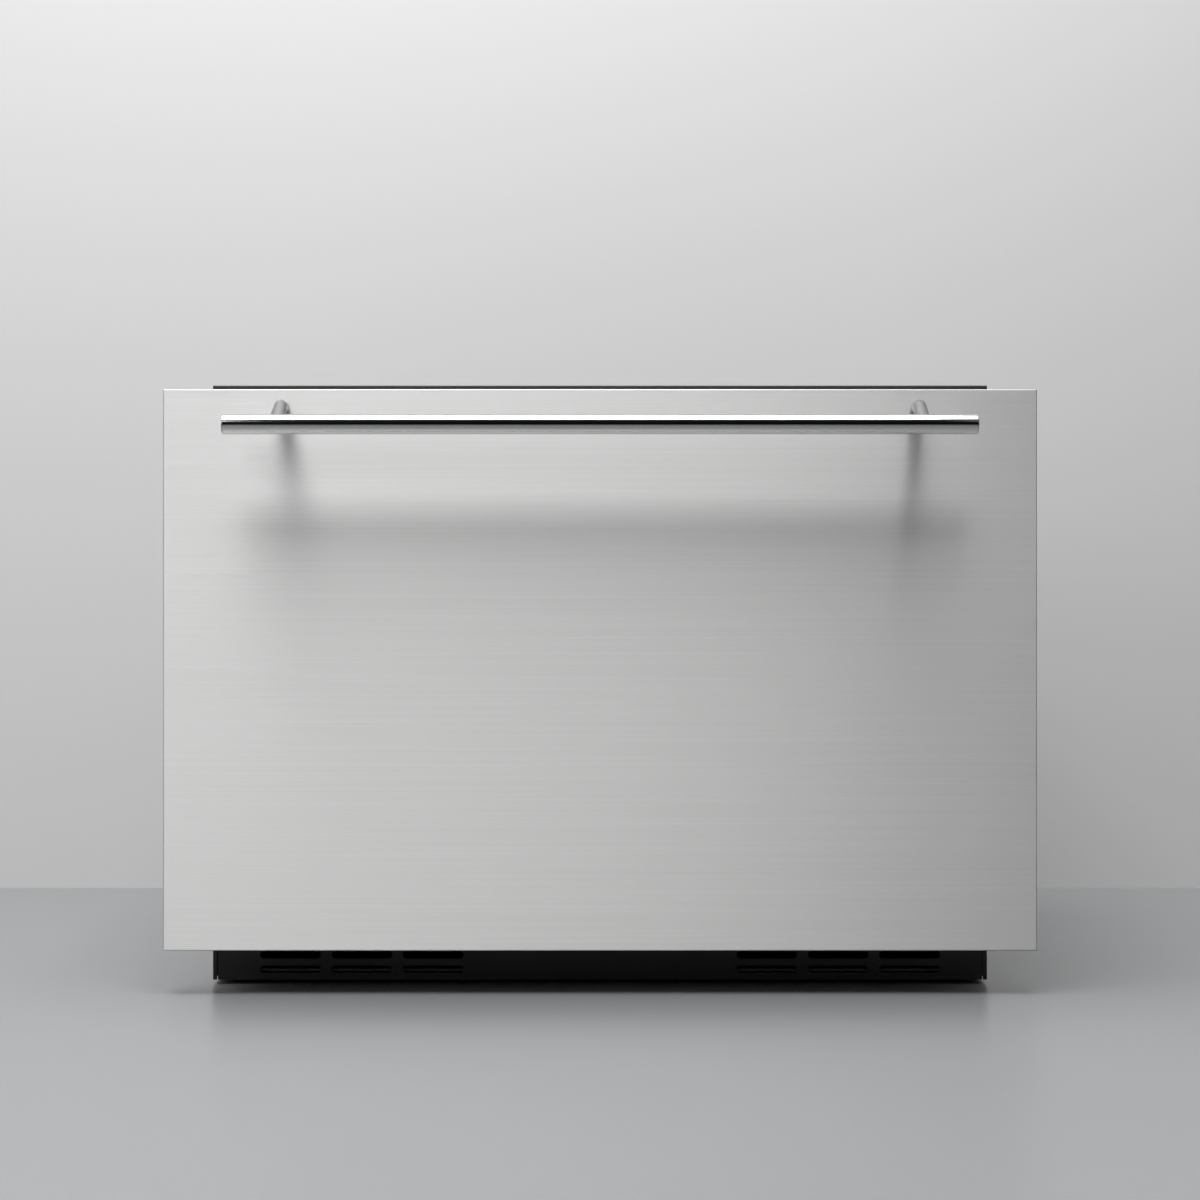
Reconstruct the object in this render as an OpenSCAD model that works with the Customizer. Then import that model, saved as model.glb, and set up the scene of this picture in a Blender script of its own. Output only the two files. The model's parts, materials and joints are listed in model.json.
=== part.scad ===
// Under counter drawer refrigerator.
// One full-width insulated drawer rolls on telescopic runners in a painted steel cabinet.
// The machine bay lies behind and below the food space, and breathes through the kick grille.
// Front is -Y, up is +Z, and the origin lies on the floor under the middle of the whole object.

/* [Cabinet] */
// Width of the steel cabinet
cabinet_w = 547; // [520:1:660]
// Height of the cabinet top above the floor
cabinet_h = 423; // [415:1:520]
// Depth of the cabinet, without the drawer front
cabinet_d = 460; // [450:1:560]
// Thickness of the insulated walls
wall_t = 36; // [30:0.5:44]
// Thickness of the outer steel sheet
sheet_t = 1; // [0.8:0.1:1.2]
// Thickness of the plastic liner
liner_t = 2; // [1.5:0.1:2.5]
// Width of the folded front edge of the steel sheet
hem_w = 3; // [2:0.5:5]
// Thickness of the front collar that the gasket closes on
collar_t = 2.5; // [2:0.1:4]

/* [Drawer front] */
// How far the front panel passes the cabinet on each side
panel_overhang = 26.5; // [20:0.5:30]
// Height of the stainless front panel
panel_h = 385.5; // [375:0.5:390]
// Height of the panel's lower edge above the floor
panel_z = 30.5; // [20:0.5:34]
// Thickness of the stainless sheet
panel_t = 1.2; // [0.8:0.1:1.5]
// Depth of the panel's folded edges
panel_fold = 20; // [15:0.5:24]
// Thickness of the whole drawer front
front_t = 42; // [34:0.5:52]
// Thickness of the drawer front's plastic liner
front_liner_t = 2; // [1.5:0.1:2.5]
// Gap that the gasket fills between drawer front and cabinet
seal_gap = 12; // [10:0.1:15]

/* [Handle] */
// Diameter of the handle bar
bar_d = 13.5; // [11:0.1:17]
// Length of the handle bar
bar_len = 508; // [470:1:560]
// Distance between the two posts
post_spacing = 435; // [360:1:450]
// Distance from the panel to the bar's axis
bar_standoff = 40; // [36:0.5:50]
// Depth of the bar's axis below the panel's upper edge
bar_below_top = 26.7; // [24:0.1:34]
// Height of the post's root above the bar's axis
post_rise = 14; // [11:0.5:16]
// Diameter of the post at its root
post_d = 9; // [7.5:0.1:11]
// Diameter of the post at the bar
post_bar_d = 12; // [9:0.1:12.5]

/* [Runners] */
// Closed length of the telescopic runners
runner_len = 350; // [290:1:350]
// Travel of the drawer
travel = 340; // [270:1:340]
// Height of a runner
runner_h = 45; // [42:0.5:48]
// Thickness of a runner, from liner to drawer bracket
runner_t = 12.7; // [12.4:0.1:15]
// Thickness of the runner steel
runner_steel = 1.2; // [1:0.1:1.3]
// Diameter of the runner balls
ball_d = 4; // [3.6:0.1:4.2]
// Balls in each row of a cage
balls = 6; // [3:1:8]

/* [Bin] */
// Wall thickness of the bin
bin_t = 2.5; // [2:0.1:3.5]
// Depth of the bin's rim below the ceiling
rim_below_ceiling = 54.5; // [48:0.5:60]
// Room under the bin
bin_clear = 8; // [6:0.5:12]
// Diameter of the gallery rail's wire
rail_d = 5; // [4:0.1:7]
// Height of the gallery rail above the rim
rail_h = 18; // [14:0.5:22]

/* [Kick grille] */
// Length of a slot
slot_len = 43; // [36:0.5:47]
// Height of a slot
slot_h = 5.2; // [4:0.1:6.4]
// Distance between slots along a row
slot_pitch_x = 50.4; // [48:0.1:52]
// Distance between rows
slot_pitch_z = 10.1; // [9:0.1:10.4]
// Distance from the middle to the first slot's centre
slot_first_x = 117.9; // [80:0.5:120]
// Height of the lowest row's centre above the floor
slot_first_z = 10.45; // [9.5:0.05:11]
// Rows of slots
slot_rows = 5; // [2:1:5]
// Slots in each half of a row
slot_columns = 3; // [1:1:3]

/* [Machine bay] */
// Depth of the bay behind the food space
machine_d = 170; // [165:1:185]
// Height of the bay's ceiling above the floor
machine_h = 190; // [186:1:195]
// Height of the deck over the front air duct
deck_z = 62; // [60:0.5:66]
// Diameter of the compressor shell
compressor_d = 116; // [100:1:122]
// Height of the compressor shell
compressor_h = 128; // [110:1:132]
// Bolt distance of the compressor along X
compressor_bolt_x = 165; // [155:1:170]
// Bolt distance of the compressor along Y
compressor_bolt_y = 70; // [60:1:90]
// Side of the condenser fan's square frame
condenser_fan_w = 120; // [100:1:125]
// Side of the evaporator fan's square frame
evaporator_fan_w = 92; // [76:1:96]
// Hole that the power cord passes through
cord_hole_d = 8.2; // [6:0.1:10]

/* [Feet] */
// Diameter of a foot's pad
foot_d = 32; // [26:0.5:38]
// Diameter of a foot's threaded stem
stem_d = 8; // [6:0.5:10]
// Length that a foot screws out
foot_travel = 10; // [6:1:12]

/* [Hidden] */
$fn = 48;

// Clearances
running = 0.05;      // between a shaft and its bearing, and between a ball and its race
fit = 0.02;          // between a piece and the curved seat that holds it
seat_gap = 0.3;      // between the gasket and the collar
round_gap = 0.3;     // between a cover and the round shell that it hugs
over = 1;            // how far a cutting shape runs past a face

// Whole object, front to back
gland_flange_t = 3;
rear_out = gland_flange_t;
front_out = seal_gap + front_t + bar_standoff + bar_d / 2;
front_y = -(front_out + cabinet_d + rear_out) / 2 + front_out;
back_y = front_y + cabinet_d;
half_w = cabinet_w / 2;
in_half_w = half_w - sheet_t;

// Food space
cavity_half_w = half_w - wall_t;
floor_z = deck_z + wall_t;
ceiling_z = cabinet_h - wall_t;
riser_y = back_y - machine_d;
cavity_riser_y = riser_y - wall_t;
step_z = machine_h + wall_t;
cavity_back_y = back_y - wall_t;
evaporator_depth = 50;
cover_t = 2.5;
cover_y = cavity_back_y - evaporator_depth;

// Base
skirt_z = 3;
base_z = 9;
pan_t = 1.5;
pan_z = base_z + pan_t;
pan_flange = 22;
kick_recess = 0.5;
kick_t = 2.5;
kick_back_y = front_y + kick_recess + kick_t;
kick_top_z = deck_z - 1;
kick_fold = 11;
ear_w = 26;
ear_top_z = deck_z - 6;

// Screws, all M4 with pan heads
screw_r = 2;
screw_head_r = 3.8;
screw_head_t = 2;
rear_screw_x = half_w - 30;
rear_screw_low_z = base_z + 8;
rear_screw_high_z = machine_h - 8;
kick_screw_x = half_w - 16;
kick_screw_z = deck_z - 14;

// Rear cover: two groups of louvre slots, and the cord's bush
louvre_x = half_w * 0.42;
louvre_len = half_w * 0.55;
louvre_h = 5;
louvre_z = machine_h * 0.28;
louvre_pitch = 12;
louvre_rows = 9;
cord_x = in_half_w - 30;
cord_z = base_z + 38;
bush_wall = 4;
bush_lip = 2;
bush_lip_t = 4;
rear_fold = 16;

// Feet
foot_x = half_w - 24;
foot_front_y = front_y + 34;
foot_rear_y = back_y - 26;
foot_pad_h = 6;
stem_top_z = 36;
bush_r = stem_d / 2 + 4;
bush_top_z = 30;

// Drawer front
panel_half_w = half_w + panel_overhang;
panel_y = front_y - seal_gap - front_t;
fold_y = panel_y + panel_fold;
front_in_half_w = panel_half_w - panel_t;
panel_top_z = panel_z + panel_h;
front_back_y = front_y - seal_gap;
plug_half_w = half_w - 5.5;
plug_z = deck_z + 4;
plug_top_z = panel_top_z - 4;
gasket_w = 18;
gasket_in_half_w = cavity_half_w + 6.5;
gasket_in_z = floor_z - 8;
gasket_in_top_z = ceiling_z + 6;
gasket_base_t = 3;
gasket_head_t = 5;
magnet_w = 9;
magnet_t = 2.6;
magnet_y = front_y - seat_gap - 1.2 - magnet_t;
magnet_corner = 14;
post_hole_gap = 0.3;
post_pocket_gap = 1.5;
post_pocket_d = 6;

// Handle
bar_r = bar_d / 2;
bar_y = panel_y - bar_standoff;
bar_z = panel_top_z - bar_below_top;
bar_chamfer = 0.8;
post_bend_a = 30;
post_bend_r = 12;
post_leg = (post_rise - post_bend_r * (1 - cos(post_bend_a))) / sin(post_bend_a);
post_stub = bar_standoff - post_bend_r * sin(post_bend_a) - post_leg * cos(post_bend_a);
post_screw_depth = 10;
post_lap = 0.1;

// Runners: u runs from the liner towards the drawer, v runs up from the runner's middle
rim_z = ceiling_z - rim_below_ceiling;
runner_z = rim_z - runner_h / 2 - 8;
runner_y = front_y + 8;
runner_lip = 1.4;
middle_u = 3.2;
middle_v = runner_h / 2 - runner_steel - ball_d - 2 * running;
inner_u = 4.9;
inner_v = middle_v - runner_steel - ball_d - 2 * running;
rail_u = runner_t - runner_steel;
outer_ball_u = 7.4;
outer_ball_v = (runner_h / 2 - runner_steel + middle_v) / 2;
inner_ball_u = 8.2;
inner_ball_v = (middle_v - runner_steel + inner_v) / 2;
cage_t = 1;
cage_w = ball_d + 1.2;
ball_step = 24;
cage_len = balls * ball_step;
cage_y = runner_y + travel / 4 + 4;
runner_screw_steps = [30, runner_len / 2, runner_len - 30];
bracket_screw_steps = [runner_len * 0.2, runner_len * 0.75];
thin_head_t = 1.6;

// Drawer frame and bin
bracket_t = 1.5;
bracket_x = cavity_half_w - runner_t - bracket_t;
bracket_z = runner_z - runner_h / 2 - 6;
bracket_flange_w = 26;
bracket_flange_z = bracket_z - 40;
bin_half_w = bracket_x - 2.3;
bin_y = front_back_y + 4;
bin_deep_y = cavity_riser_y - 8;
bin_back_y = cover_y - 14;
bin_floor_z = floor_z + bin_clear;
bin_step_z = step_z + bin_clear;
bin_rim_t = 2.5;
bin_rim_out = 3;
bracket_back_y = bin_back_y + 6;
tie_bar_y = bin_back_y + bin_rim_out + 0.5;
tie_bar_h = 30;
rail_inset = 6;
rail_bend = 14;
rail_post_in = 40;

// Compressor
compressor_x = -(in_half_w - 130);
compressor_y = riser_y + machine_d / 2;
compressor_r = compressor_d / 2;
base_plate_z = pan_z + 10;
base_plate_t = 3;
shell_z = base_plate_z + base_plate_t;
shell_top_z = shell_z + compressor_h;
shell_seam_z = shell_z + compressor_h * 0.58;
shell_t = 3;
shell_round = 22;
weld_w = 3;
weld_h = 2.5;
shell_flat_r = compressor_r - shell_round;
grommet_r = 11;
grommet_neck_r = 7;
grommet_top_z = shell_z + 4;
bolt_r = 3;
tray_half = [76, 62];
tray_h = 24;
tray_t = 2;

// Condenser and its fan
coil_r = 3.5;
condenser_pitch = 24;
condenser_rows = 5;
condenser_x = in_half_w - 110;
condenser_len = machine_d - 70;
condenser_y = riser_y + 32;
condenser_z = pan_z + 16;
condenser_fins = 18;
fin_t = 0.4;
end_plate_t = 1.2;
fan_depth = 25;
fan_rim = 4;
fan_hole_in = 6;
fan_hole_r = 2.2;
fan_strut = [5, 3];
fan_shaft_r = 2;
fan_motor_h = fan_depth * 0.42;
fan_blades = 7;
fan_blade_a = 38;
fan_blade_t = 1.2;
fan_tip_gap = 3;
condenser_motor_r = 19;
condenser_fan_x = condenser_x - 60;
condenser_fan_z = pan_z + condenser_fan_w / 2;

// Evaporator and its fan
evaporator_pitch = 20;
evaporator_rows = 4;
evaporator_len = cavity_half_w + 25;
evaporator_x = -(cavity_half_w - 45);
evaporator_y = cavity_back_y - 30;
evaporator_z = step_z + 34;
evaporator_fins = 24;
evaporator_fan_x = cavity_half_w - 85;
evaporator_fan_z = (step_z + ceiling_z) / 2;
evaporator_fan_y = cover_y + cover_t;
evaporator_motor_r = 16;
cover_margin = 1;
cover_post_r = 5;
cover_screw_in = 14;
pan_trough = [evaporator_len + 30, 40, 12];

// Lines through the insulation
suction_r = 4;
discharge_r = 3;
capillary_r = 1.5;
drain_r = 7;
lines_y = evaporator_y;
suction_x = -20;
capillary_x = 50;
drain_x = compressor_x;
drier_r = 9;

// Controls under the ceiling
housing_half_w = 75;
housing_y = front_y + 22;
housing_d = 62;
housing_h = 18;
housing_t = 2;
housing_z = ceiling_z - housing_h;
dial_x = -42;
dial_y = housing_y + housing_d / 2;
dial_r = 15;
dial_h = 9;
dial_gap = 0.5;
dial_flutes = 12;
dial_shaft_r = 3;
lens_x = 26;
lens_half = [38, 20];
lens_t = 3;

// ---------------------------------------------------------------- shared shapes

module box_between(a, b) {
    translate(a) cube(b - a);
}

// Extrudes a (y, z) outline along X
module along_x(x0, x1) {
    translate([x0, 0, 0]) rotate([90, 0, 90]) linear_extrude(x1 - x0) children();
}

// Extrudes an (x, z) outline along Y
module along_y(y0, y1) {
    translate([0, y1, 0]) rotate([90, 0, 0]) linear_extrude(y1 - y0) children();
}

module x_rod(r, x0, x1, y, z) {
    translate([x0, y, z]) rotate([0, 90, 0]) cylinder(r = r, h = x1 - x0);
}

module y_rod(r, y0, y1, x, z) {
    translate([x, y1, z]) rotate([90, 0, 0]) cylinder(r = r, h = y1 - y0);
}

module z_rod(r, z0, z1, x, y) {
    translate([x, y, z0]) cylinder(r = r, h = z1 - z0);
}

module both_sides() {
    children();
    mirror([1, 0, 0]) children();
}

// A rectangular ring in the (x, z) plane
module ring_outline(half_outer, z_outer, half_inner, z_inner) {
    difference() {
        translate([-half_outer, z_outer[0]]) square([2 * half_outer, z_outer[1] - z_outer[0]]);
        translate([-half_inner, z_inner[0]]) square([2 * half_inner, z_inner[1] - z_inner[0]]);
    }
}

// A slot with round ends, centred on (x, z)
module slot_outline(length, height, x, z) {
    translate([x - length / 2 + height / 2, z - height / 2]) square([length - height, height]);
    for (side = [-1, 1])
        translate([x + side * (length - height) / 2, z]) circle(d = height);
}

// A screw along Y, with its head outside at y and its tip at y + length
module screw_to_back(x, y, z, length) {
    y_rod(screw_r, y, y + length, x, z);
    y_rod(screw_head_r, y - screw_head_t, y, x, z);
}

module screw_to_front(x, y, z, length) {
    y_rod(screw_r, y - length, y, x, z);
    y_rod(screw_head_r, y, y + screw_head_t, x, z);
}

// A pipe along square-cornered points, with round bends
module pipe(points, r, bend) {
    last = len(points) - 1;
    for (i = [0 : last - 1]) {
        run = points[i + 1] - points[i];
        way = run / norm(run);
        start = points[i] + (i > 0 ? bend : 0) * way;
        end = points[i + 1] - (i < last - 1 ? bend : 0) * way;
        if (norm(end - start) > 0.01)
            translate(start)
                rotate([0, acos(way[2]), atan2(way[1], way[0])])
                    cylinder(r = r, h = norm(end - start));
        if (i < last - 1) {
            next = points[i + 2] - points[i + 1];
            turn = next / norm(next);
            side = cross(way, turn);
            centre = points[i + 1] + bend * (turn - way);
            multmatrix([
                [-turn[0], way[0], side[0], centre[0]],
                [-turn[1], way[1], side[1], centre[1]],
                [-turn[2], way[2], side[2], centre[2]],
                [0, 0, 0, 1]])
                rotate_extrude(angle = 90) translate([bend, 0]) circle(r = r);
        }
    }
}

// Points of a two-column coil: tubes along X, rows up Z, columns 0 and pitch along Y
function coil_points(length, rows, pitch) = concat(
    [for (row = [0 : rows - 1]) for (end = [0, 1])
        [(row + end) % 2 == 0 ? 0 : length, 0, row * pitch]],
    [for (row = [rows - 1 : -1 : 0]) for (end = [0, 1])
        [(row + end) % 2 == 0 ? length : 0, pitch, row * pitch]]);

module coil(length, rows, pitch) {
    pipe(coil_points(length, rows, pitch), coil_r, pitch / 2);
}

// One fin of such a coil, at x
module fin(x, thickness, rows, pitch) {
    difference() {
        translate([x, -pitch / 2, -pitch / 2])
            cube([thickness, 2 * pitch, rows * pitch]);
        for (row = [0 : rows - 1], column = [0, 1])
            x_rod(coil_r + fit, x - over, x + thickness + over, column * pitch, row * pitch);
    }
}

module fin_block(length, count, rows, pitch) {
    first = pitch / 2 + 2;
    pitch_x = (length - 2 * first) / (count - 1);
    for (i = [0 : count - 1])
        fin(first + i * pitch_x, i == 0 || i == count - 1 ? end_plate_t : fin_t, rows, pitch);
}

// A fan's square frame with its motor on four struts. The fan turns about Z and blows towards +Z
module fan_frame(width, motor_r) {
    hole = width / 2 - fan_hole_in;
    difference() {
        translate([-width / 2, -width / 2, 0]) cube([width, width, fan_depth]);
        translate([0, 0, -over]) cylinder(r = width / 2 - fan_rim, h = fan_depth + 2 * over);
        for (x = [-1, 1], y = [-1, 1])
            translate([x * hole, y * hole, -over])
                cylinder(r = fan_hole_r, h = fan_depth + 2 * over);
    }
    difference() {
        union() {
            cylinder(r = motor_r, h = fan_motor_h);
            for (i = [0 : 3])
                rotate(45 + 90 * i) translate([0, -fan_strut[0] / 2, 0])
                    cube([(width - fan_rim) / 2, fan_strut[0], fan_strut[1]]);
        }
        translate([0, 0, 2]) cylinder(r = fan_shaft_r + running, h = fan_motor_h);
    }
}

module fan_rotor(width, motor_r) {
    shaft_z = 3;
    hub_z = fan_motor_h + 0.6;
    hub_top_z = fan_depth - 1;
    blade_len = width / 2 - fan_rim - fan_tip_gap - motor_r;
    blade_w = fan_depth / 2;
    translate([0, 0, shaft_z]) cylinder(r = fan_shaft_r, h = hub_z - shaft_z);
    translate([0, 0, hub_z]) cylinder(r = motor_r, h = hub_top_z - hub_z);
    for (i = [0 : fan_blades - 1])
        rotate(i * 360 / fan_blades)
            translate([motor_r - 1, 0, (hub_z + hub_top_z) / 2])
                rotate([fan_blade_a, 0, 0])
                    translate([0, -blade_w / 2, -fan_blade_t / 2])
                        cube([blade_len, blade_w, fan_blade_t]);
}

// ---------------------------------------------------------------- cabinet

module cabinet_wrap() {
    color("#1b1b1c") difference() {
        box_between([-half_w, front_y, skirt_z], [half_w, back_y, cabinet_h]);
        box_between([-in_half_w, front_y + sheet_t, skirt_z - over],
            [in_half_w, back_y + over, cabinet_h - sheet_t]);
        box_between([-half_w + hem_w, front_y - over, skirt_z - over],
            [half_w - hem_w, front_y + 2 * sheet_t, cabinet_h - hem_w]);
    }
}

module back_panel() {
    color("#b9bcbe")
        box_between([-in_half_w, back_y - sheet_t, machine_h],
            [in_half_w, back_y, cabinet_h - sheet_t]);
}

module rear_cover() {
    color("#a8abad") difference() {
        box_between([-in_half_w, back_y - sheet_t, base_z], [in_half_w, back_y, machine_h]);
        along_y(back_y - 2 * sheet_t, back_y + over)
            for (side = [-1, 1], row = [0 : louvre_rows - 1])
                slot_outline(louvre_len, louvre_h, side * louvre_x, louvre_z + row * louvre_pitch);
        y_rod(cord_hole_d / 2 + bush_wall + fit, back_y - over - sheet_t, back_y + over,
            cord_x, cord_z);
        for (x = [-1, 1], z = [rear_screw_low_z, rear_screw_high_z])
            y_rod(screw_r + fit, back_y - 2 * sheet_t, back_y + over, x * rear_screw_x, z);
    }
}

module cabinet_screws() {
    color("#c8c9ca") {
        for (x = [-1, 1], z = [rear_screw_low_z, rear_screw_high_z])
            screw_to_front(x * rear_screw_x, back_y, z, 8);
        for (x = [-1, 1])
            screw_to_back(x * kick_screw_x, front_y + kick_recess, kick_screw_z, 10);
        for (x = [-1, 1], z = [step_z + cover_screw_in, ceiling_z - cover_screw_in])
            screw_to_back(x * (cavity_half_w - cover_screw_in), cover_y, z, evaporator_depth + 8);
        both_sides() for (y = runner_screw_steps) {
            x_rod(screw_r, cavity_half_w - runner_steel, cavity_half_w + 14,
                runner_y + y, runner_z);
            x_rod(screw_head_r, cavity_half_w - runner_steel - 1, cavity_half_w - runner_steel,
                runner_y + y, runner_z);
        }
    }
}

// The (x, z) outline of the base pan: a floor with two upturned sides
module pan_outline() {
    difference() {
        translate([-in_half_w, base_z]) square([2 * in_half_w, pan_flange]);
        translate([-in_half_w + pan_t, pan_z]) square([2 * (in_half_w - pan_t), pan_flange]);
    }
}

module foot_places() {
    for (x = [-1, 1], y = [foot_front_y, foot_rear_y])
        translate([x * foot_x, y, 0]) children();
}

module base_pan() {
    color("#8f9294") difference() {
        union() {
            along_y(kick_back_y, back_y - sheet_t) pan_outline();
            both_sides()
                box_between([in_half_w - ear_w, kick_back_y, base_z],
                    [in_half_w, kick_back_y + pan_t, ear_top_z]);
            box_between([-in_half_w, back_y - sheet_t - pan_t, base_z],
                [in_half_w, back_y - sheet_t, base_z + rear_fold]);
            foot_places() translate([0, 0, base_z + pan_t / 2])
                cylinder(r = bush_r, h = bush_top_z - base_z - pan_t / 2);
        }
        foot_places() cylinder(r = stem_d / 2 + running, h = bush_top_z + over);
        for (x = [-1, 1], y = [-1, 1])
            z_rod(bolt_r + running, base_z - over, pan_z + over,
                compressor_x + x * compressor_bolt_x / 2, compressor_y + y * compressor_bolt_y / 2);
        for (x = [-1, 1]) {
            y_rod(screw_r + fit, kick_back_y - over, kick_back_y + pan_t + over,
                x * kick_screw_x, kick_screw_z);
            y_rod(screw_r + fit, back_y - 4 * sheet_t, back_y, x * rear_screw_x, rear_screw_low_z);
        }
    }
}

module kick_grille() {
    kick_half_w = half_w - hem_w - 0.5;
    y = front_y + kick_recess;
    color("#141415") difference() {
        union() {
            box_between([-kick_half_w, y, skirt_z], [kick_half_w, kick_back_y, kick_top_z]);
            box_between([-kick_half_w, y, skirt_z],
                [kick_half_w, kick_back_y + kick_fold, skirt_z + 2]);
            box_between([-kick_half_w, y, kick_top_z - 2],
                [kick_half_w, kick_back_y + kick_fold, kick_top_z]);
        }
        along_y(y - over, kick_back_y + over)
            for (side = [-1, 1], column = [0 : slot_columns - 1], row = [0 : slot_rows - 1])
                slot_outline(slot_len, slot_h, side * (slot_first_x + column * slot_pitch_x),
                    slot_first_z + row * slot_pitch_z);
        for (x = [-1, 1])
            y_rod(screw_r + fit, y - over, kick_back_y + over, x * kick_screw_x, kick_screw_z);
    }
}

module breaker_collar() {
    color("#202122") along_y(front_y, front_y + collar_t)
        ring_outline(half_w - hem_w, [deck_z, cabinet_h - hem_w],
            cavity_half_w, [floor_z, ceiling_z]);
}

module line_holes(z0, z1) {
    z_rod(suction_r + fit, z0, z1, suction_x, lines_y);
    z_rod(capillary_r + fit, z0, z1, capillary_x, lines_y);
    z_rod(drain_r + fit, z0, z1, drain_x, lines_y);
}

module deck_plate() {
    start_y = front_y + collar_t;
    end_y = back_y - sheet_t;
    color("#9fa2a4") difference() {
        union() {
            along_x(-in_half_w, in_half_w) polygon([
                [start_y, deck_z], [riser_y, deck_z], [riser_y, machine_h], [end_y, machine_h],
                [end_y, machine_h + sheet_t], [riser_y - sheet_t, machine_h + sheet_t],
                [riser_y - sheet_t, deck_z + sheet_t], [start_y, deck_z + sheet_t]]);
            box_between([-in_half_w, end_y - pan_t, machine_h - rear_fold],
                [in_half_w, end_y, machine_h]);
        }
        line_holes(machine_h - over, machine_h + sheet_t + over);
        for (x = [-1, 1])
            y_rod(screw_r + fit, end_y - 4 * sheet_t, back_y, x * rear_screw_x, rear_screw_high_z);
    }
}

// The (y, z) outline of the food space, grown outwards by o
module cavity_outline(o, start_y) {
    polygon([[start_y, floor_z - o], [cavity_riser_y + o, floor_z - o],
        [cavity_riser_y + o, step_z - o], [cavity_back_y + o, step_z - o],
        [cavity_back_y + o, ceiling_z + o], [start_y, ceiling_z + o]]);
}

module liner_screw_holes() {
    both_sides() for (y = runner_screw_steps)
        x_rod(screw_r + fit, cavity_half_w - over, cavity_half_w + 14.5, runner_y + y, runner_z);
    for (x = [-1, 1], z = [step_z + cover_screw_in, ceiling_z - cover_screw_in])
        y_rod(screw_r + fit, cavity_back_y - over, cavity_back_y + 8.5,
            x * (cavity_half_w - cover_screw_in), z);
}

module insulation_foam() {
    start_y = front_y + collar_t;
    end_y = back_y - sheet_t;
    color("#e8d79a") difference() {
        along_x(-in_half_w, in_half_w) polygon([
            [start_y, deck_z + sheet_t], [riser_y - sheet_t, deck_z + sheet_t],
            [riser_y - sheet_t, machine_h + sheet_t], [end_y, machine_h + sheet_t],
            [end_y, cabinet_h - sheet_t], [start_y, cabinet_h - sheet_t]]);
        along_x(-cavity_half_w - liner_t, cavity_half_w + liner_t)
            cavity_outline(liner_t, start_y - over);
        line_holes(machine_h, step_z);
        liner_screw_holes();
    }
}

module inner_liner() {
    color("#f1f2f2") difference() {
        along_x(-cavity_half_w - liner_t, cavity_half_w + liner_t)
            cavity_outline(liner_t, front_y + collar_t);
        along_x(-cavity_half_w, cavity_half_w) cavity_outline(0, front_y);
        line_holes(step_z - liner_t - over, step_z + over);
        liner_screw_holes();
    }
}

// A rubber bush in the rear cover that the power cord passes through
module cord_gland() {
    bush = cord_hole_d / 2 + bush_wall;
    color("#1a1a1a") translate([cord_x, back_y, cord_z]) rotate([90, 0, 0]) difference() {
        union() {
            translate([0, 0, -gland_flange_t]) cylinder(r = bush + bush_lip + 1, h = gland_flange_t);
            cylinder(r = bush, h = sheet_t);
            translate([0, 0, sheet_t]) cylinder(r = bush + bush_lip, h = bush_lip_t);
        }
        translate([0, 0, -gland_flange_t - over])
            cylinder(d = cord_hole_d, h = gland_flange_t + sheet_t + bush_lip_t + 2 * over);
    }
}

module leg(x, y) {
    color("#222324") translate([x, y, 0]) {
        rotate_extrude() polygon([[0, 0], [foot_d / 2 - 1, 0], [foot_d / 2, 1],
            [foot_d / 2, foot_pad_h - 2], [foot_d / 2 - 2, foot_pad_h], [0, foot_pad_h]]);
        cylinder(d = stem_d, h = stem_top_z);
        translate([0, 0, foot_pad_h]) cylinder(r = stem_d / 2 + 3, h = 2, $fn = 6);
    }
}

// ---------------------------------------------------------------- machine bay

module compressor_bolt_places() {
    for (x = [-1, 1], y = [-1, 1])
        translate([compressor_x + x * compressor_bolt_x / 2,
            compressor_y + y * compressor_bolt_y / 2, 0]) children();
}

// A shell half's (r, z) outline, rounded at its far end, between z = 0 and z = h
module dome_outline(r, h, round) {
    intersection() {
        union() {
            square([r - round, h]);
            square([r, h - round]);
            translate([r - round, h - round]) circle(r = round);
        }
        square([r, h]);
    }
}

module shell_cup(h) {
    rotate_extrude() difference() {
        dome_outline(compressor_r, h, shell_round);
        dome_outline(compressor_r - shell_t, h - shell_t, shell_round - shell_t);
    }
    rotate_extrude() translate([compressor_r - over, 0]) square([over + weld_w, weld_h]);
}

module compressor_shells() {
    color("#1d1e20") translate([compressor_x, compressor_y, 0]) {
        translate([0, 0, shell_seam_z]) shell_cup(shell_top_z - shell_seam_z);
        translate([0, 0, shell_seam_z]) mirror([0, 0, 1]) shell_cup(shell_seam_z - shell_z);
    }
}

module compressor_pump() {
    spring_h = 12;
    motor_h = 42;
    block = [52, 40, 30];
    color("#8c8f92") translate([compressor_x, compressor_y, shell_z + shell_t]) {
        cylinder(r = shell_flat_r - 4, h = spring_h);
        translate([0, 0, spring_h]) cylinder(r = compressor_r - 14, h = motor_h);
        translate([-block[0] / 2, -block[1] / 2, spring_h + motor_h]) cube(block);
        translate([0, 0, spring_h + motor_h + block[2]]) cylinder(r = 14, h = 18);
    }
}

module compressor_base() {
    arm = 16;
    color("#2a2b2d") difference() {
        union() {
            translate([compressor_x, compressor_y, base_plate_z])
                cylinder(r = compressor_r - 14, h = base_plate_t);
            for (y = [-1, 1])
                translate([compressor_x - compressor_bolt_x / 2 - arm,
                    compressor_y + y * compressor_bolt_y / 2 - arm, base_plate_z])
                    cube([compressor_bolt_x + 2 * arm, 2 * arm, base_plate_t]);
        }
        compressor_bolt_places() translate([0, 0, base_plate_z - over])
            cylinder(r = grommet_neck_r + running, h = base_plate_t + 2 * over);
    }
}

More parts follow.
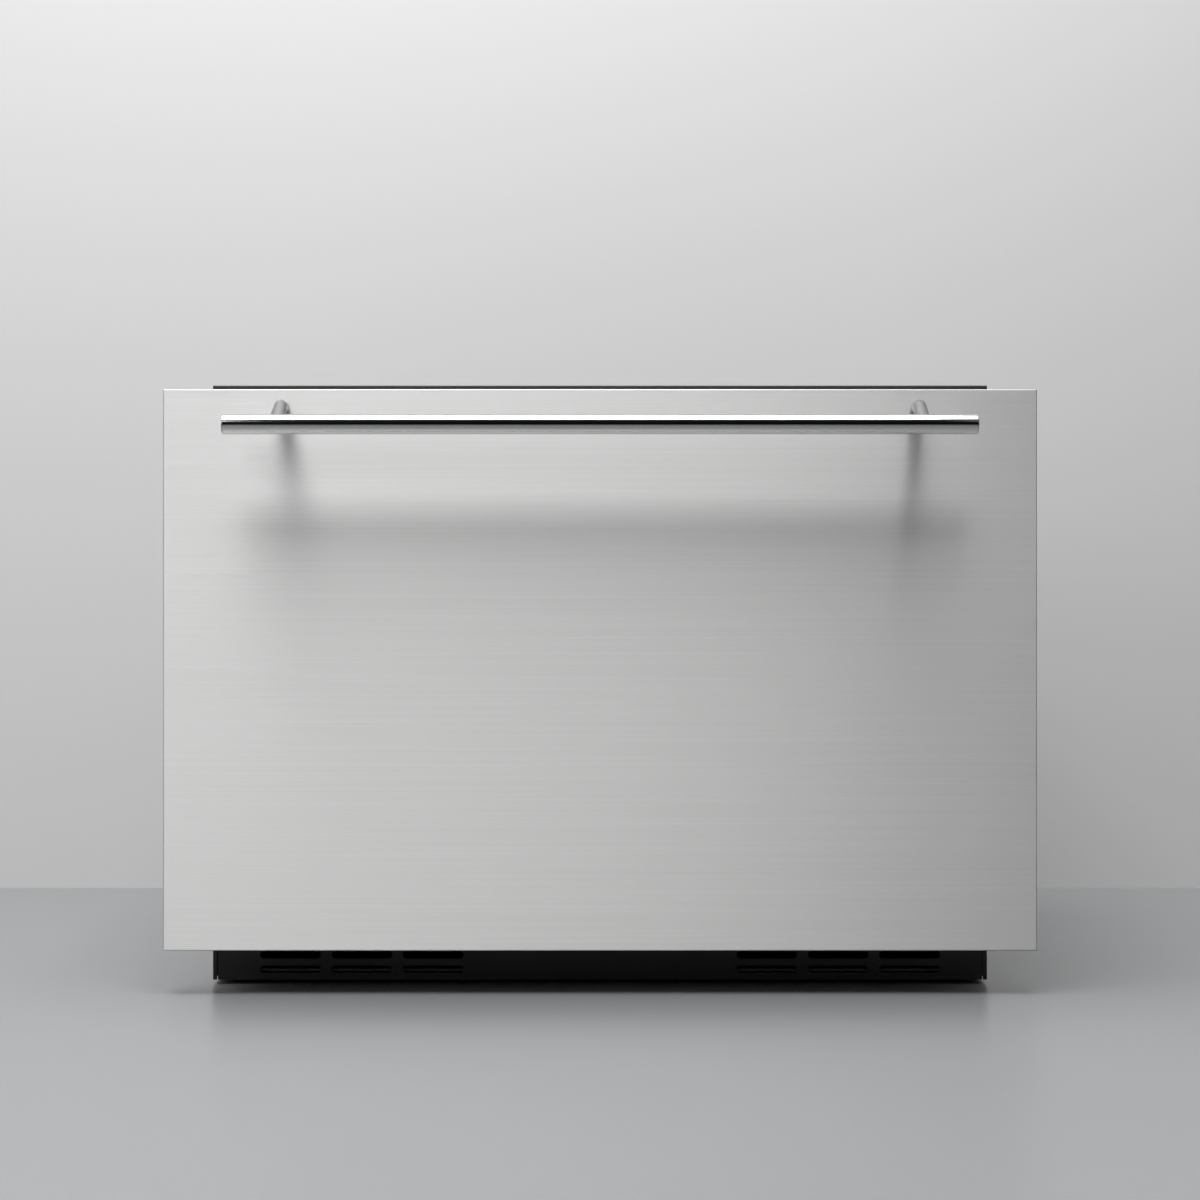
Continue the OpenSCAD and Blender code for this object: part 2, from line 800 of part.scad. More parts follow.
module compressor_grommets() {
    color("#161616") compressor_bolt_places() rotate_extrude() polygon([
        [bolt_r + running, pan_z], [grommet_r, pan_z], [grommet_r, base_plate_z],
        [grommet_neck_r, base_plate_z], [grommet_neck_r, shell_z],
        [grommet_r - 1.5, shell_z], [grommet_r - 2.5, grommet_top_z],
        [bolt_r + running, grommet_top_z]]);
}

module compressor_bolts() {
    nut_r = bolt_r + 2.5;
    washer_t = 1.2;
    color("#c6c8ca") compressor_bolt_places() {
        translate([0, 0, base_z - 2]) cylinder(r = nut_r, h = 2, $fn = 6);
        translate([0, 0, base_z]) cylinder(r = bolt_r, h = shell_z + 10 - base_z);
        translate([0, 0, grommet_top_z]) cylinder(r = bolt_r + 4, h = washer_t);
        translate([0, 0, grommet_top_z + washer_t]) cylinder(r = nut_r, h = 4, $fn = 6);
    }
}

module terminal_cover() {
    wall = 3;
    half_d = 24;
    low_z = shell_z + 26;
    high_z = shell_seam_z - 6;
    shell_x = compressor_x + compressor_r;
    end_x = shell_x + 32;
    color("#2b2c2e") difference() {
        box_between([compressor_x + compressor_r * 0.8, compressor_y - half_d, low_z],
            [end_x, compressor_y + half_d, high_z]);
        z_rod(compressor_r + round_gap, low_z - over, high_z + over,
            compressor_x, compressor_y);
        box_between([shell_x + wall + 1, compressor_y - half_d + wall, low_z + wall],
            [end_x - wall, compressor_y + half_d - wall, high_z + over]);
    }
}

module drip_tray() {
    low = [compressor_x - tray_half[0], compressor_y - tray_half[1], shell_top_z];
    high = [compressor_x + tray_half[0], compressor_y + tray_half[1], shell_top_z + tray_h];
    inset = [tray_t, tray_t, tray_t];
    color("#3a3c3e") difference() {
        box_between(low, high);
        box_between(low + inset, [high[0] - tray_t, high[1] - tray_t, high[2] + over]);
    }
}

module condenser_place() {
    translate([condenser_x + condenser_pitch / 2, condenser_y, condenser_z])
        rotate([0, 0, 90]) children();
}

module condenser_coil() {
    color("#b87340") condenser_place() coil(condenser_len, condenser_rows, condenser_pitch);
}

module condenser_fins() {
    feet_h = condenser_z - condenser_pitch / 2 - pan_z;
    first = condenser_pitch / 2 + 2;
    color("#c4c7ca") {
        condenser_place()
            fin_block(condenser_len, condenser_fins, condenser_rows, condenser_pitch);
        condenser_place() for (x = [first, condenser_len - first])
            translate([x, -condenser_pitch / 2, -condenser_pitch / 2 - feet_h])
                cube([end_plate_t, 2 * condenser_pitch, feet_h]);
    }
}

module condenser_fan_place() {
    translate([condenser_fan_x, compressor_y, condenser_fan_z]) rotate([0, -90, 0]) children();
}

module condenser_fan_frame() {
    color("#242526") condenser_fan_place() fan_frame(condenser_fan_w, condenser_motor_r);
}

module condenser_fan_rotor() {
    color("#3b3d40") condenser_fan_place() fan_rotor(condenser_fan_w, condenser_motor_r);
}

// Discharge line, liquid line with its filter drier and capillary, and suction line
module refrigerant_lines() {
    coil_x = condenser_x + condenser_pitch / 2;
    second_x = coil_x - condenser_pitch;
    drier_x = coil_x + 34;
    drier_y = condenser_y - 12;
    discharge_y = compressor_y - 14;
    discharge_z = shell_z + 16;
    lift_x = compressor_x + compressor_r + 42;
    high_z = machine_h - 14;
    front_row_y = condenser_y - 16;
    suction_z = shell_seam_z + 16;
    second_y = evaporator_y + evaporator_pitch;
    under_z = evaporator_z - 16;
    capillary_z = evaporator_z - 14;
    fine_bend = 4;
    small_bend = 6;
    bend = 8;
    drier_z = condenser_z + 24;
    drier_h = 60;
    cone_h = 8;
    color("#b87340") difference() {
        union() {
            pipe([[compressor_x + 30, discharge_y, discharge_z],
                [lift_x, discharge_y, discharge_z], [lift_x, discharge_y, high_z],
                [lift_x, front_row_y, high_z], [second_x, front_row_y, high_z],
                [second_x, front_row_y, condenser_z], [second_x, condenser_y, condenser_z]],
                discharge_r, 7);
            pipe([[coil_x, condenser_y, condenser_z], [coil_x, drier_y, condenser_z],
                [drier_x, drier_y, condenser_z], [drier_x, drier_y, drier_z]],
                discharge_r, small_bend);
            translate([drier_x, drier_y, drier_z]) {
                cylinder(r1 = discharge_r, r2 = drier_r, h = cone_h);
                translate([0, 0, cone_h]) cylinder(r = drier_r, h = drier_h);
                translate([0, 0, cone_h + drier_h])
                    cylinder(r1 = drier_r, r2 = capillary_r + 1, h = cone_h);
            }
            pipe([[drier_x, drier_y, drier_z + drier_h + 2 * cone_h], [drier_x, drier_y, high_z + 4],
                [capillary_x, drier_y, high_z + 4], [capillary_x, lines_y, high_z + 4],
                [capillary_x, lines_y, capillary_z], [capillary_x, second_y, capillary_z],
                [evaporator_x - 12, second_y, capillary_z],
                [evaporator_x - 12, second_y, evaporator_z],
                [evaporator_x, second_y, evaporator_z]], capillary_r, fine_bend);
            pipe([[compressor_x + 30, lines_y, suction_z], [suction_x, lines_y, suction_z],
                [suction_x, lines_y, under_z], [evaporator_x - 14, lines_y, under_z],
                [evaporator_x - 14, lines_y, evaporator_z], [evaporator_x, lines_y, evaporator_z]],
                suction_r, bend);
        }
        z_rod(compressor_r + fit, shell_z, shell_top_z, compressor_x, compressor_y);
    }
}

module drain_tube() {
    color("#d9dadb") difference() {
        z_rod(drain_r, shell_top_z + tray_h - 8, step_z + 1, drain_x, lines_y);
        z_rod(drain_r - 1.5, shell_top_z, step_z + 2, drain_x, lines_y);
    }
}

// A box with a lid on its back, and a circuit board inside
module control_box() {
    wall = 3;
    board_t = 1.6;
    low = [in_half_w - 84, back_y - sheet_t - 62, machine_h - 78];
    high = [in_half_w, back_y - sheet_t - 12, machine_h - 1];
    color("#d5d6d7") {
        difference() {
            box_between(low, [high[0], high[1] - wall, high[2]]);
            box_between(low + [wall, wall, wall], [high[0] - wall, high[1], high[2] - wall]);
        }
        box_between([low[0], high[1] - wall, low[2]], high);
        box_between([low[0] + 14, low[1] + wall, low[2] + 12],
            [high[0] - 14, low[1] + wall + board_t, high[2] - 12]);
    }
}

// ---------------------------------------------------------------- cold side

module evaporator_place() {
    translate([evaporator_x, evaporator_y, evaporator_z]) children();
}

module evaporator_coil() {
    color("#c9ccd0") evaporator_place() coil(evaporator_len, evaporator_rows, evaporator_pitch);
}

module evaporator_fins() {
    color("#d3d6d9") evaporator_place()
        fin_block(evaporator_len, evaporator_fins, evaporator_rows, evaporator_pitch);
}

module evaporator_pan() {
    low = [evaporator_x - 5, cover_y + cover_t + 3, step_z];
    high = [low[0] + pan_trough[0], cavity_back_y - 1, step_z + pan_trough[2]];
    color("#b9bcc0") difference() {
        box_between(low, high);
        box_between(low + [1.5, 1.5, 3], [high[0] - 1.5, high[1] - 1.5, high[2] + over]);
        line_holes(step_z - over, step_z + 4);
    }
}

module evaporator_cover() {
    half = cavity_half_w - cover_margin;
    low_z = step_z + cover_margin;
    high_z = ceiling_z - cover_margin;
    inlet_len = cavity_half_w * 0.3;
    outlet_r = evaporator_fan_w / 2 - 6;
    inlet_pitch = 12;
    outlet_pitch = 11;
    color("#eceded") difference() {
        union() {
            box_between([-half, cover_y, low_z], [half, cover_y + cover_t, high_z]);
            for (x = [-1, 1], z = [step_z + cover_screw_in, ceiling_z - cover_screw_in])
                y_rod(cover_post_r, cover_y + cover_t / 2, cavity_back_y,
                    x * (cavity_half_w - cover_screw_in), z);
        }
        for (x = [-1, 1], z = [step_z + cover_screw_in, ceiling_z - cover_screw_in])
            y_rod(screw_r + fit, cover_y - over, cavity_back_y + over,
                x * (cavity_half_w - cover_screw_in), z);
        along_y(cover_y - over, cover_y + cover_t + over) {
            for (column = [0 : 2], row = [0 : 4])
                slot_outline(inlet_len, 5,
                    evaporator_x + 8 + inlet_len / 2 + column * (inlet_len + inlet_pitch),
                    step_z + 26 + row * inlet_pitch);
            for (row = [-3 : 3])
                slot_outline(2 * sqrt(pow(outlet_r, 2) - pow(row * outlet_pitch, 2)), 6,
                    evaporator_fan_x, evaporator_fan_z + row * outlet_pitch);
        }
    }
}

module evaporator_fan_place() {
    translate([evaporator_fan_x, evaporator_fan_y + fan_depth, evaporator_fan_z])
        rotate([90, 0, 0]) children();
}

module evaporator_fan_frame() {
    color("#e2e3e4") evaporator_fan_place() fan_frame(evaporator_fan_w, evaporator_motor_r);
}

module evaporator_fan_rotor() {
    color("#f3f4f4") evaporator_fan_place() fan_rotor(evaporator_fan_w, evaporator_motor_r);
}

module control_housing() {
    color("#e9eaea") difference() {
        box_between([-housing_half_w, housing_y, housing_z],
            [housing_half_w, housing_y + housing_d, ceiling_z]);
        box_between([-housing_half_w + housing_t, housing_y + housing_t, housing_z + housing_t],
            [housing_half_w - housing_t, housing_y + housing_d - housing_t, ceiling_z + over]);
        z_rod(dial_shaft_r + running, housing_z - over, housing_z + housing_t + over,
            dial_x, dial_y);
        box_between([lens_x - lens_half[0] + 2, dial_y - lens_half[1] + 2, housing_z - over],
            [lens_x + lens_half[0] - 2, dial_y + lens_half[1] - 2, housing_z + housing_t + over]);
    }
}

module thermostat_body() {
    z = housing_z + housing_t;
    color("#caccce") difference() {
        box_between([dial_x - 17, dial_y - 14, z], [dial_x + 17, dial_y + 14, z + 13]);
        z_rod(dial_shaft_r + running, z - over, z + 7, dial_x, dial_y);
    }
}

module temperature_dial() {
    color("#f4f4f3") translate([dial_x, dial_y, 0]) {
        difference() {
            z_rod(dial_r, housing_z - dial_gap - dial_h, housing_z - dial_gap, 0, 0);
            for (i = [0 : dial_flutes - 1]) rotate(i * 360 / dial_flutes)
                z_rod(1.6, housing_z - dial_gap - dial_h - over, housing_z - 3, dial_r + 0.6, 0);
        }
        z_rod(dial_shaft_r, housing_z - 2, housing_z + housing_t + 6, 0, 0);
    }
}

module lamp_lens() {
    color("#fbfbf4") {
        box_between([lens_x - lens_half[0], dial_y - lens_half[1], housing_z - lens_t],
            [lens_x + lens_half[0], dial_y + lens_half[1], housing_z]);
    }
}

// ---------------------------------------------------------------- runners

// A runner's (u, v) outline stood on the right-hand wall of the food space
module on_wall(y0, y1) {
    along_y(y0, y1) translate([cavity_half_w, runner_z]) mirror([1, 0]) children();
}

module up_and_down() {
    children();
    mirror([0, 1]) children();
}

module outer_outline() {
    half = runner_h / 2;
    translate([0, -half]) square([runner_steel, runner_h]);
    up_and_down() {
        translate([0, half - runner_steel]) square([rail_u, runner_steel]);
        translate([rail_u - runner_steel, half - runner_steel - runner_lip])
            square([runner_steel, runner_lip + runner_steel / 2]);
    }
}

module middle_outline() {
    translate([middle_u, -middle_v]) square([runner_steel, 2 * middle_v]);
    up_and_down() {
        translate([middle_u, middle_v - runner_steel]) square([rail_u - middle_u, runner_steel]);
        translate([rail_u - runner_steel, middle_v - runner_steel - runner_lip])
            square([runner_steel, 2 * runner_lip + runner_steel]);
    }
}

module inner_outline() {
    translate([rail_u, -inner_v]) square([runner_steel, 2 * inner_v]);
    up_and_down() {
        translate([inner_u, inner_v - runner_steel]) square([runner_t - inner_u, runner_steel]);
        translate([inner_u, inner_v - runner_steel / 2])
            square([runner_steel, runner_lip + runner_steel / 2]);
    }
}

module outer_runner() {
    difference() {
        on_wall(runner_y, runner_y + runner_len) outer_outline();
        for (y = runner_screw_steps)
            x_rod(screw_r + fit, cavity_half_w - 3, cavity_half_w + over, runner_y + y, runner_z);
    }
}

module outer_runners() {
    color("#b4b8bc") both_sides() outer_runner();
}

module middle_runner() {
    color("#c3c7cb") on_wall(runner_y, runner_y + runner_len) middle_outline();
}

module middle_runner_right() {
    middle_runner();
}

module middle_runner_left() {
    mirror([1, 0, 0]) middle_runner();
}

module inner_runner() {
    difference() {
        on_wall(runner_y, runner_y + runner_len) inner_outline();
        for (y = bracket_screw_steps)
            x_rod(screw_r + fit, bracket_x, bracket_x + 5, runner_y + y, runner_z);
    }
}

module inner_runners() {
    color("#b4b8bc") both_sides() inner_runner();
}

// Two strips with a row of balls each, at height v above and below the runner's middle
module ball_cage(u, v) {
    x = cavity_half_w - u;
    for (side = [-1, 1]) {
        z = runner_z + side * v;
        color("#55585c") difference() {
            box_between([x - cage_w / 2, cage_y, z - cage_t / 2],
                [x + cage_w / 2, cage_y + cage_len, z + cage_t / 2]);
            for (i = [0 : balls - 1])
                translate([x, cage_y + (i + 0.5) * ball_step, z]) sphere(d = ball_d + running);
        }
        color("#dfe2e4") for (i = [0 : balls - 1])
            translate([x, cage_y + (i + 0.5) * ball_step, z]) sphere(d = ball_d);
    }
}

module outer_ball_cage_right() {
    ball_cage(outer_ball_u, outer_ball_v);
}

module outer_ball_cage_left() {
    mirror([1, 0, 0]) ball_cage(outer_ball_u, outer_ball_v);
}

module inner_ball_cage_right() {
    ball_cage(inner_ball_u, inner_ball_v);
}

module inner_ball_cage_left() {
    mirror([1, 0, 0]) ball_cage(inner_ball_u, inner_ball_v);
}

// ---------------------------------------------------------------- drawer

module front_panel() {
    color("#c9cacb") difference() {
        box_between([-panel_half_w, panel_y, panel_z], [panel_half_w, fold_y, panel_top_z]);
        box_between([-front_in_half_w, panel_y + panel_t, panel_z + panel_t],
            [front_in_half_w, fold_y + over, panel_top_z - panel_t]);
        for (x = [-1, 1])
            y_rod(screw_r + post_hole_gap, panel_y - over, panel_y + panel_t + over,
                x * post_spacing / 2, bar_z + post_rise);
    }
}

module front_foam() {
    color("#e8d79a") difference() {
        union() {
            box_between([-front_in_half_w, panel_y + panel_t, panel_z + panel_t],
                [front_in_half_w, fold_y - front_liner_t, panel_top_z - panel_t]);
            box_between([-plug_half_w + front_liner_t, panel_y + panel_t, plug_z + front_liner_t],
                [plug_half_w - front_liner_t, front_back_y - front_liner_t,
                    plug_top_z - front_liner_t]);
        }
        for (x = [-1, 1])
            y_rod(screw_head_r + post_pocket_gap, panel_y, panel_y + panel_t + post_pocket_d,
                x * post_spacing / 2, bar_z + post_rise);
        bracket_screw_places()
            y_rod(screw_r + fit, front_back_y - 13, front_back_y, 0, 0);
    }
}

module front_liner() {
    color("#ededed") difference() {
        union() {
            box_between([-front_in_half_w, fold_y - front_liner_t, panel_z + panel_t],
                [front_in_half_w, fold_y, panel_top_z - panel_t]);
            box_between([-plug_half_w, fold_y - front_liner_t, plug_z],
                [plug_half_w, front_back_y, plug_top_z]);
        }
        box_between([-plug_half_w + front_liner_t, panel_y, plug_z + front_liner_t],
            [plug_half_w - front_liner_t, front_back_y - front_liner_t,
                plug_top_z - front_liner_t]);
        bracket_screw_places()
            y_rod(screw_r + fit, front_back_y - 4, front_back_y + over, 0, 0);
    }
}

// A ring round the opening: a base on the drawer front, a narrow neck and a magnet head
module gasket_ring(inset, y0, y1) {
    in_half = gasket_in_half_w + inset;
    out_half = gasket_in_half_w + gasket_w - inset;
    along_y(y0, y1) ring_outline(out_half,
        [gasket_in_z - gasket_w + inset, gasket_in_top_z + gasket_w - inset],
        in_half, [gasket_in_z - inset, gasket_in_top_z + inset]);
}

module gasket() {
    head_y = front_y - seat_gap - gasket_head_t;
    color("#2c2d2f") difference() {
        union() {
            gasket_ring(0, front_back_y, front_back_y + gasket_base_t);
            gasket_ring(5, front_back_y, head_y + gasket_head_t / 2);
            gasket_ring(2, head_y, front_y - seat_gap);
        }
        along_y(magnet_y, magnet_y + magnet_t) ring_outline(
            gasket_in_half_w + 2 + magnet_w,
            [gasket_in_z - 2 - magnet_w, gasket_in_top_z + 2 + magnet_w],
            gasket_in_half_w - over, [gasket_in_z + over, gasket_in_top_z - over]);
    }
}

module gasket_magnets() {
    x0 = gasket_in_half_w + 2;
    color("#4a4744") {
        both_sides() box_between([x0, magnet_y, gasket_in_z + magnet_corner],
            [x0 + magnet_w, magnet_y + magnet_t, gasket_in_top_z - magnet_corner]);
        for (z = [gasket_in_z - 2 - magnet_w, gasket_in_top_z + 2])
            box_between([-x0 + magnet_corner, magnet_y, z],
                [x0 - magnet_corner, magnet_y + magnet_t, z + magnet_w]);
    }
}

module handle_bar() {
    half = bar_len / 2;
    color("#a9abad") translate([-half, bar_y, bar_z]) rotate([0, 90, 0]) {
        cylinder(r1 = bar_r - bar_chamfer, r2 = bar_r, h = bar_chamfer);
        translate([0, 0, bar_chamfer]) cylinder(r = bar_r, h = bar_len - 2 * bar_chamfer);
        translate([0, 0, bar_len - bar_chamfer])
            cylinder(r1 = bar_r, r2 = bar_r - bar_chamfer, h = bar_chamfer);
    }
}

// A stand-off that leaves the panel squarely and bends down to the bar
module handle_post(x) {
    post_r = post_d / 2;
    difference() {
        translate([x, panel_y, bar_z + post_rise]) rotate([90, 0, 0]) {
            cylinder(r = post_r, h = post_stub);
            translate([0, -post_bend_r, post_stub]) rotate(a = 120, v = [1, 1, 1])
                rotate_extrude(angle = post_bend_a) translate([post_bend_r, 0]) circle(r = post_r);
            translate([0, -post_bend_r * (1 - cos(post_bend_a)),
                post_stub + post_bend_r * sin(post_bend_a)])
                rotate([post_bend_a, 0, 0]) translate([0, 0, -post_lap])
                    cylinder(r1 = post_r - post_lap / 2, r2 = post_bar_d / 2,
                        h = post_leg + post_lap);
        }
        x_rod(bar_r + fit, x - post_bar_d, x + post_bar_d, bar_y, bar_z);
        y_rod(screw_r + fit, panel_y - post_screw_depth, panel_y + over, x, bar_z + post_rise);
    }
}

module handle_posts() {
    color("#a9abad") for (x = [-1, 1]) handle_post(x * post_spacing / 2);
}

module bracket_screw_places() {
    for (side = [-1, 1], z = [bracket_flange_z + 12, rim_z - 16])
        translate([side * (bracket_x - bracket_flange_w / 2), 0, z]) children();
}

module drawer_screws() {
    color("#c8c9ca") {
        for (x = [-1, 1])
            screw_to_front(x * post_spacing / 2, panel_y + panel_t, bar_z + post_rise,
                post_screw_depth - 1 + panel_t);
        bracket_screw_places() screw_to_front(0, front_back_y + bracket_t, 0, 12);
        both_sides() for (y = bracket_screw_steps) {
            x_rod(screw_r, bracket_x - thin_head_t, bracket_x + bracket_t + runner_steel,
                runner_y + y, runner_z);
            x_rod(screw_head_r, bracket_x - thin_head_t, bracket_x, runner_y + y, runner_z);
        }
    }
}

module drawer_bracket() {
    difference() {
        union() {
            box_between([bracket_x, front_back_y, bracket_z],
                [bracket_x + bracket_t, bracket_back_y, rim_z]);
            box_between([bracket_x - bracket_flange_w, front_back_y, bracket_flange_z],
                [bracket_x + bracket_t, front_back_y + bracket_t, rim_z]);
        }
        for (z = [bracket_flange_z + 12, rim_z - 16])
            y_rod(screw_r + fit, front_back_y - over, front_back_y + bracket_t + over,
                bracket_x - bracket_flange_w / 2, z);
        for (y = bracket_screw_steps)
            x_rod(screw_r + fit, bracket_x - over, bracket_x + bracket_t + over,
                runner_y + y, runner_z);
    }
}

module drawer_brackets() {
    color("#b9bdc0") both_sides() drawer_bracket();
}

module drawer_tie_bar() {
    color("#b9bdc0") box_between([-bracket_x, tie_bar_y, runner_z - tie_bar_h / 2],
        [bracket_x, tie_bar_y + bracket_t, runner_z + tie_bar_h / 2]);
}

// The bin's (y, z) outline, taken in by t, with its top at top_z
module bin_outline(t, top_z) {
    polygon([[bin_y + t, bin_floor_z + t], [bin_deep_y - t, bin_floor_z + t],
        [bin_deep_y - t, bin_step_z + t], [bin_back_y - t, bin_step_z + t],
        [bin_back_y - t, top_z], [bin_y + t, top_z]]);
}

module bin() {
    rim_half_w = bracket_x + bracket_t;
    color("#e6e8e9") difference() {
        union() {
            along_x(-bin_half_w, bin_half_w) bin_outline(0, rim_z);
            box_between([-rim_half_w, bin_y, rim_z],
                [rim_half_w, bin_back_y + bin_rim_out, rim_z + bin_rim_t]);
        }
        along_x(-bin_half_w + bin_t, bin_half_w - bin_t)
            bin_outline(bin_t, rim_z + bin_rim_t + over);
    }
}

module bin_rail() {
    x = (bin_half_w - bin_t + bracket_x + bracket_t) / 2;
    y0 = bin_y + rail_inset;
    y1 = bin_back_y - rail_inset;
    foot_z = rim_z + bin_rim_t;
    z = foot_z + rail_h;
    post_y = [y0 + rail_post_in, (y0 + y1) / 2, y1 - rail_post_in];
    color("#c9cbcd") {
        pipe([[0, y0, z], [x, y0, z], [x, y1, z], [-x, y1, z], [-x, y0, z], [0, y0, z]],
            rail_d / 2, rail_bend);
        both_sides() for (y = post_y) {
            z_rod(rail_d / 2 - 0.5, foot_z, z, x, y);
            z_rod(rail_d / 2 + 0.5, foot_z, foot_z + 2, x, y);
        }
    }
}

// ---------------------------------------------------------------- nodes

cabinet_wrap();
back_panel();
rear_cover();
cabinet_screws();
base_pan();
kick_grille();
breaker_collar();
deck_plate();
insulation_foam();
inner_liner();
cord_gland();
compressor_shells();
compressor_pump();
compressor_base();
compressor_grommets();
compressor_bolts();
terminal_cover();
drip_tray();
condenser_coil();
condenser_fins();
condenser_fan_frame();
condenser_fan_rotor();
refrigerant_lines();
drain_tube();
control_box();
evaporator_coil();
evaporator_fins();
evaporator_pan();
evaporator_cover();
evaporator_fan_frame();
evaporator_fan_rotor();
control_housing();
thermostat_body();
temperature_dial();
lamp_lens();
outer_runners();
middle_runner_left();
middle_runner_right();
outer_ball_cage_left();
outer_ball_cage_right();
inner_ball_cage_left();
inner_ball_cage_right();
front_panel();
front_foam();
front_liner();
gasket();
gasket_magnets();
handle_bar();
handle_posts();
drawer_screws();
inner_runners();
drawer_brackets();
drawer_tie_bar();
bin();
bin_rail();
leg(-foot_x, foot_front_y);  // foot_front_left
leg(foot_x, foot_front_y);  // foot_front_right
leg(-foot_x, foot_rear_y);  // foot_rear_left
leg(foot_x, foot_rear_y);  // foot_rear_right
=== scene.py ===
"""Looks of an under counter drawer refrigerator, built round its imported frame, in metres.

The front is -Y and the floor is z = 0. Pieces are modelled here where a folded, moulded or
polished shape shows, and ride on the frame's bodies. The other nodes keep their own meshes.
"""

import json
import math

import bmesh
import bpy
from mathutils import Matrix, Vector

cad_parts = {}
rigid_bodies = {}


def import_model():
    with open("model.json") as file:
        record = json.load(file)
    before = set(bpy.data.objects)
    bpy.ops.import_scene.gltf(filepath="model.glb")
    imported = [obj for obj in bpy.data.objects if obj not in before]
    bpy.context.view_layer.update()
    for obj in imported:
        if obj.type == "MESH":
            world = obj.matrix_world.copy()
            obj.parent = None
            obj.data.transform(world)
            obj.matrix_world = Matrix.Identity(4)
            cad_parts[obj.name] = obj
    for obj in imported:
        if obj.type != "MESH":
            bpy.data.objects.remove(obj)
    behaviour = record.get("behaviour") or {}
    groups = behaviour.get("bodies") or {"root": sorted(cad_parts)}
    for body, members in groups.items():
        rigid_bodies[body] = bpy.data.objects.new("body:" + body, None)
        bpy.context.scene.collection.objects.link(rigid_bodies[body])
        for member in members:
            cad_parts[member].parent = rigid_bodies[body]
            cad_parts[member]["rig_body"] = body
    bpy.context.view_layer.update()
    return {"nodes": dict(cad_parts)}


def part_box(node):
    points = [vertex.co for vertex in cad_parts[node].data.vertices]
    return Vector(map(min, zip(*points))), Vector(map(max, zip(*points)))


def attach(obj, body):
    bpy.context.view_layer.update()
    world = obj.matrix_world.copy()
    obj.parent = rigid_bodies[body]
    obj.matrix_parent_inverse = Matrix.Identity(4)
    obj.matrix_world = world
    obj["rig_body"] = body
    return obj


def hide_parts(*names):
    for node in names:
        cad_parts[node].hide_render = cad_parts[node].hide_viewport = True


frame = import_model()
nodes = frame["nodes"]
MM = 0.001
# A node's points within this distance are one point, and faces within this angle are one face
MERGE_WITHIN = 0.002 * MM
FLAT_WITHIN = math.radians(0.4)


# ---------------------------------------------------------------- modelling by hand

def deselect():
    """Leaves edit mode and selects nothing."""
    if bpy.context.object and bpy.context.object.mode != "OBJECT":
        bpy.ops.object.mode_set(mode="OBJECT")
    bpy.ops.object.select_all(action="DESELECT")


def select(*pieces):
    """Selects these pieces alone. The first one is active."""
    deselect()
    for piece in pieces:
        piece.select_set(True)
    bpy.context.view_layer.objects.active = pieces[0]


def settle(piece, name):
    """Names a piece and moves its place into its mesh."""
    select(piece)
    bpy.ops.object.transform_apply(location=True, rotation=True, scale=True)
    piece.name = name
    piece.data.name = name
    return piece


def add_box(name, low, high):
    """A box between two corners."""
    deselect()
    low, high = Vector(low), Vector(high)
    bpy.ops.mesh.primitive_cube_add(size=1, location=(low + high) / 2, scale=high - low)
    return settle(bpy.context.object, name)


def add_rod(name, start, end, radius, sides):
    """A round rod from start to end."""
    deselect()
    start, end = Vector(start), Vector(end)
    run = end - start
    turn = run.to_track_quat("Z", "Y").to_euler()
    bpy.ops.mesh.primitive_cylinder_add(vertices=sides, radius=radius, depth=run.length,
                                        location=(start + end) / 2, rotation=turn)
    return settle(bpy.context.object, name)


def edit(piece):
    """Opens a piece in edit mode with nothing selected."""
    select(piece)
    bpy.ops.object.mode_set(mode="EDIT")
    bpy.ops.mesh.select_mode(type="VERT")
    bpy.ops.mesh.select_all(action="DESELECT")


def pick(kind, test):
    """Selects in edit mode what passes the test: a face by its centre and normal, an edge by its
    centre and direction, a point by its place."""
    bpy.ops.mesh.select_mode(type=kind)
    bpy.ops.mesh.select_all(action="DESELECT")
    data = bpy.context.object.data
    mesh = bmesh.from_edit_mesh(data)
    if kind == "FACE":
        chosen = [f for f in mesh.faces if test(f.calc_center_median(), f.normal)]
    elif kind == "EDGE":
        chosen = [e for e in mesh.edges
                  if test((e.verts[0].co + e.verts[1].co) / 2,
                          (e.verts[1].co - e.verts[0].co).normalized())]
    else:
        chosen = [v for v in mesh.verts if test(v.co)]
    for item in chosen:
        item.select_set(True)
    mesh.select_flush_mode()
    bmesh.update_edit_mesh(data)


def round_edges(width, segments=4):
    """Rounds the selected edges."""
    bpy.ops.mesh.bevel(offset=width, segments=segments, affect="EDGES")


def modify(piece, kind, **settings):
    """Adds a modifier and applies it at once."""
    select(piece)
    modifier = piece.modifiers.new(kind.title(), kind)
    for key, value in settings.items():
        setattr(modifier, key, value)
    bpy.ops.object.modifier_apply(modifier=modifier.name)


def smooth(piece, angle=35):
    """Shades rounded edges smoothly and keeps the broad faces flat."""
    select(piece)
    bpy.ops.object.shade_smooth_by_angle(angle=math.radians(angle))
    modify(piece, "WEIGHTED_NORMAL", keep_sharp=True, weight=80)
    return piece


def soften(piece, width, segments=2, angle=30):
    """Rounds every sharp edge a little, as sheet, castings and mouldings have them."""
    modify(piece, "BEVEL", width=width, segments=segments, limit_method="ANGLE",
           angle_limit=math.radians(angle), use_clamp_overlap=True)
    return smooth(piece, angle + 5)


def near(a, b):
    """Whether two measures agree within a twentieth of a millimetre."""
    return abs(a - b) < 0.05 * MM


def join(name, *pieces):
    """Makes one piece of several."""
    select(*pieces)
    bpy.ops.object.join()
    piece = bpy.context.object
    piece.name = name
    piece.data.name = name
    return piece


def cut(piece, *cutters):
    """Takes the cutters out of a piece and removes them."""
    tool = join("cutter", *cutters) if len(cutters) > 1 else cutters[0]
    modify(piece, "BOOLEAN", operation="DIFFERENCE", object=tool, solver="EXACT",
           use_self=len(cutters) > 1)
    bpy.data.objects.remove(tool)
    return piece


